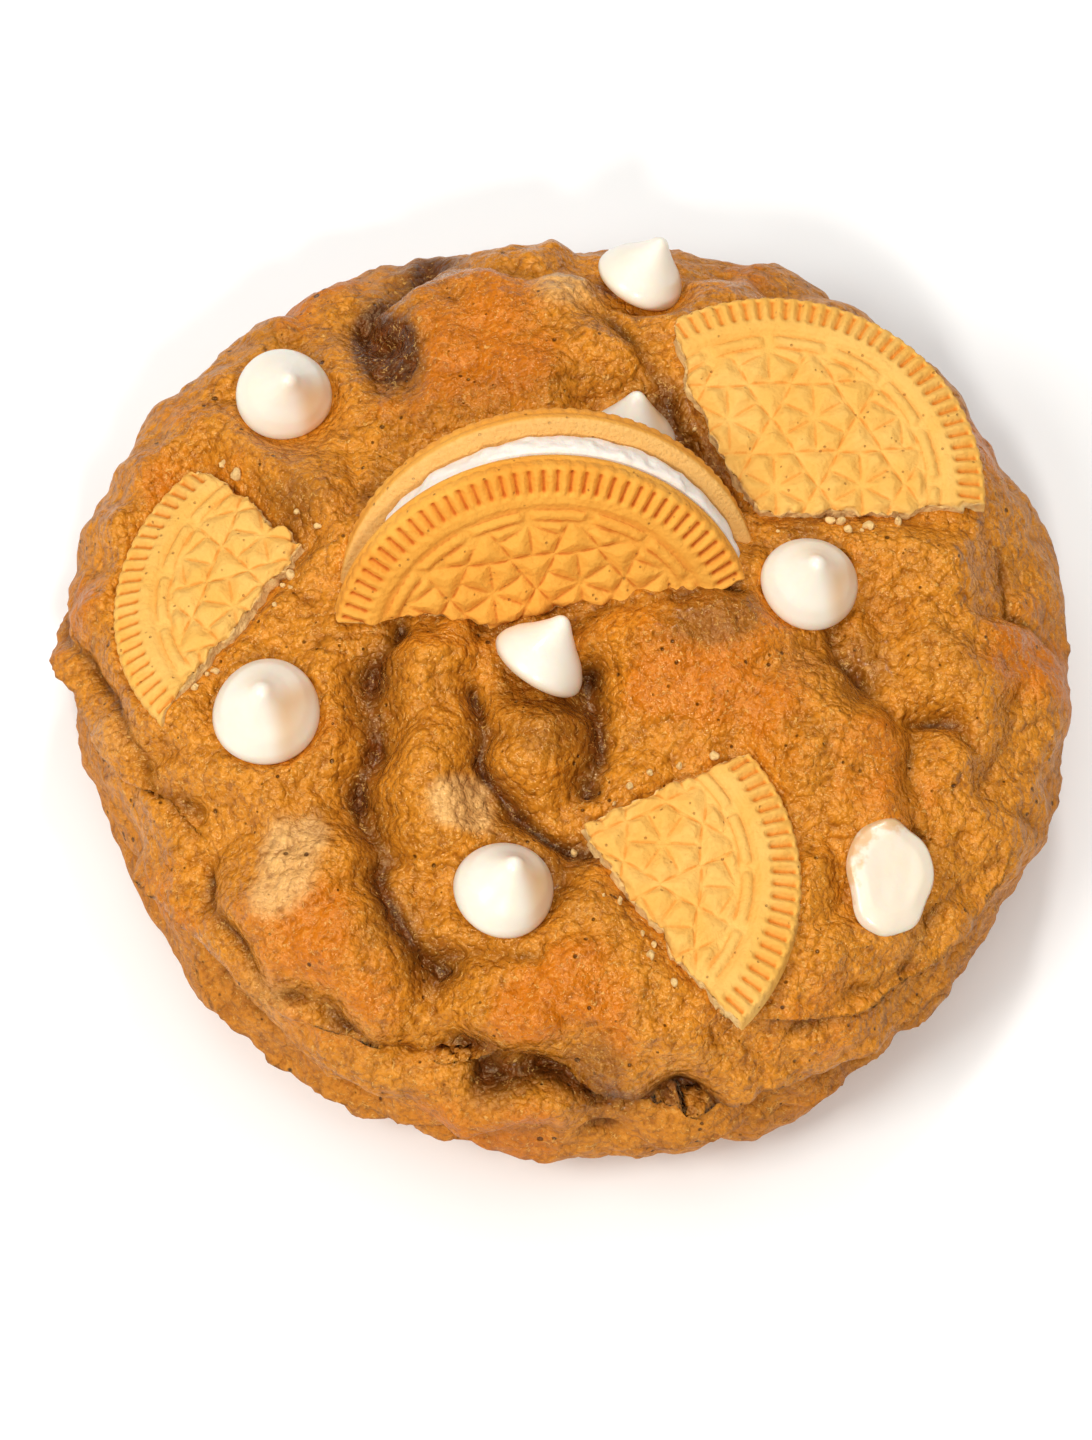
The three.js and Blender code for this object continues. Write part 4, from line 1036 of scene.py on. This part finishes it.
chocolate = Finish("white_chocolate", {
    "Specular IOR Level": 0.5, "Coat Weight": 0.3, "Coat Roughness": 0.12,
    "Subsurface Weight": 0.35, "Subsurface Scale": 0.002})
cloud = chocolate.noise(5.0, detail=2)
smeared = chocolate.rise(
    chocolate.attribute("smear") + (chocolate.noise(1.4, detail=3) - 0.5) * 1.2, 0.45, 0.8)
chocolate_color = chocolate.layered(
    chocolate.blend(cloud, paint(246, 240, 228), paint(240, 230, 210)),
    (chocolate.attribute("foot") * 0.5, (214, 176, 120)),
    (chocolate.attribute("shade") * 0.75, (222, 172, 108)),
    (smeared * 0.7, (216, 160, 84)))
chocolate_finish = chocolate.show(
    color=chocolate_color, roughness=0.26 + cloud * 0.14,
    relief=chocolate.noise(2.4, detail=2) * 0.05 + chocolate.noise(0.5, detail=1) * 0.006)

drop_faces = skin_faces(DROP_ROWS - 2, DROP_SPOKES, turned_over=True)
drop_profile = eased_profile(DROP_PROFILE, DROP_ROWS, 16)
for index, (name, (centre, lean, towards, size)) in enumerate(DROPS.items()):
    radius, height = DROP_RADIUS * size, DROP_HEIGHT * size
    uneven = 1 + 0.02 * np.sin(2 * drop_angles + index) \
        + 0.014 * np.sin(3 * drop_angles + 2 * index)
    bend = 0.5 * chance(index, 7) * on_circle(index * BEND_TURN)
    points = drop_points(drop_profile, (radius, radius, height), uneven, bend,
                         height * drop_profile[-2, 1] + 0.02)
    spots = placed(points, centre, lean, towards)
    facing = (spots - spots[-1]) @ SHADED_SIDE / radius
    aside = np.abs((spots - spots[-1]) @ SHADE_ACROSS) / radius
    shade = smooth(facing - 0.5 * aside, -0.02, 0.5) * smooth(facing, 1.2, 0.4)
    make_piece(name + "_piped", spots, drop_faces, chocolate_finish, name, {
        "foot": smooth(points[:, 2], 1.4, 0.0), "smear": np.zeros(len(points)), "shade": shade})

flat_sizes = np.array([FLAT_WIDTH / 2, FLAT_LENGTH / 2, FLAT_HEIGHT])
uneven = 1 + 0.035 * np.sin(3 * drop_angles + 1) + 0.03 * np.sin(5 * drop_angles) \
    + 0.015 * np.sin(8 * drop_angles + 2)
points = drop_points(eased_profile(FLAT_PROFILE, DROP_ROWS, 18), flat_sizes, uneven,
                     np.zeros(2), FLAT_HEIGHT * FLAT_PROFILE[-1][1])
points[:, 2] += 0.1 * smooth(points[:, 2], 1.2, 2.0) * lumps(points * [2.2, 0.5, 1], 3.4, 51)
edge_share = np.linalg.norm(points[:, :2] / flat_sizes[:2], axis=1)
smeared_side = 0.35 + 0.65 * smooth(points @ [-0.8, 0.6, 0], 0, 3)
make_piece("drop_flat_melted", placed(points, *FLAT_DROP), drop_faces, chocolate_finish,
           "drop_flat", {
               "foot": smooth(points[:, 2], 1.2, 0.0),
               "smear": smooth(edge_share, 0.35, 0.95) * 0.75 * smeared_side,
               "shade": np.full(len(points), 0.3)})
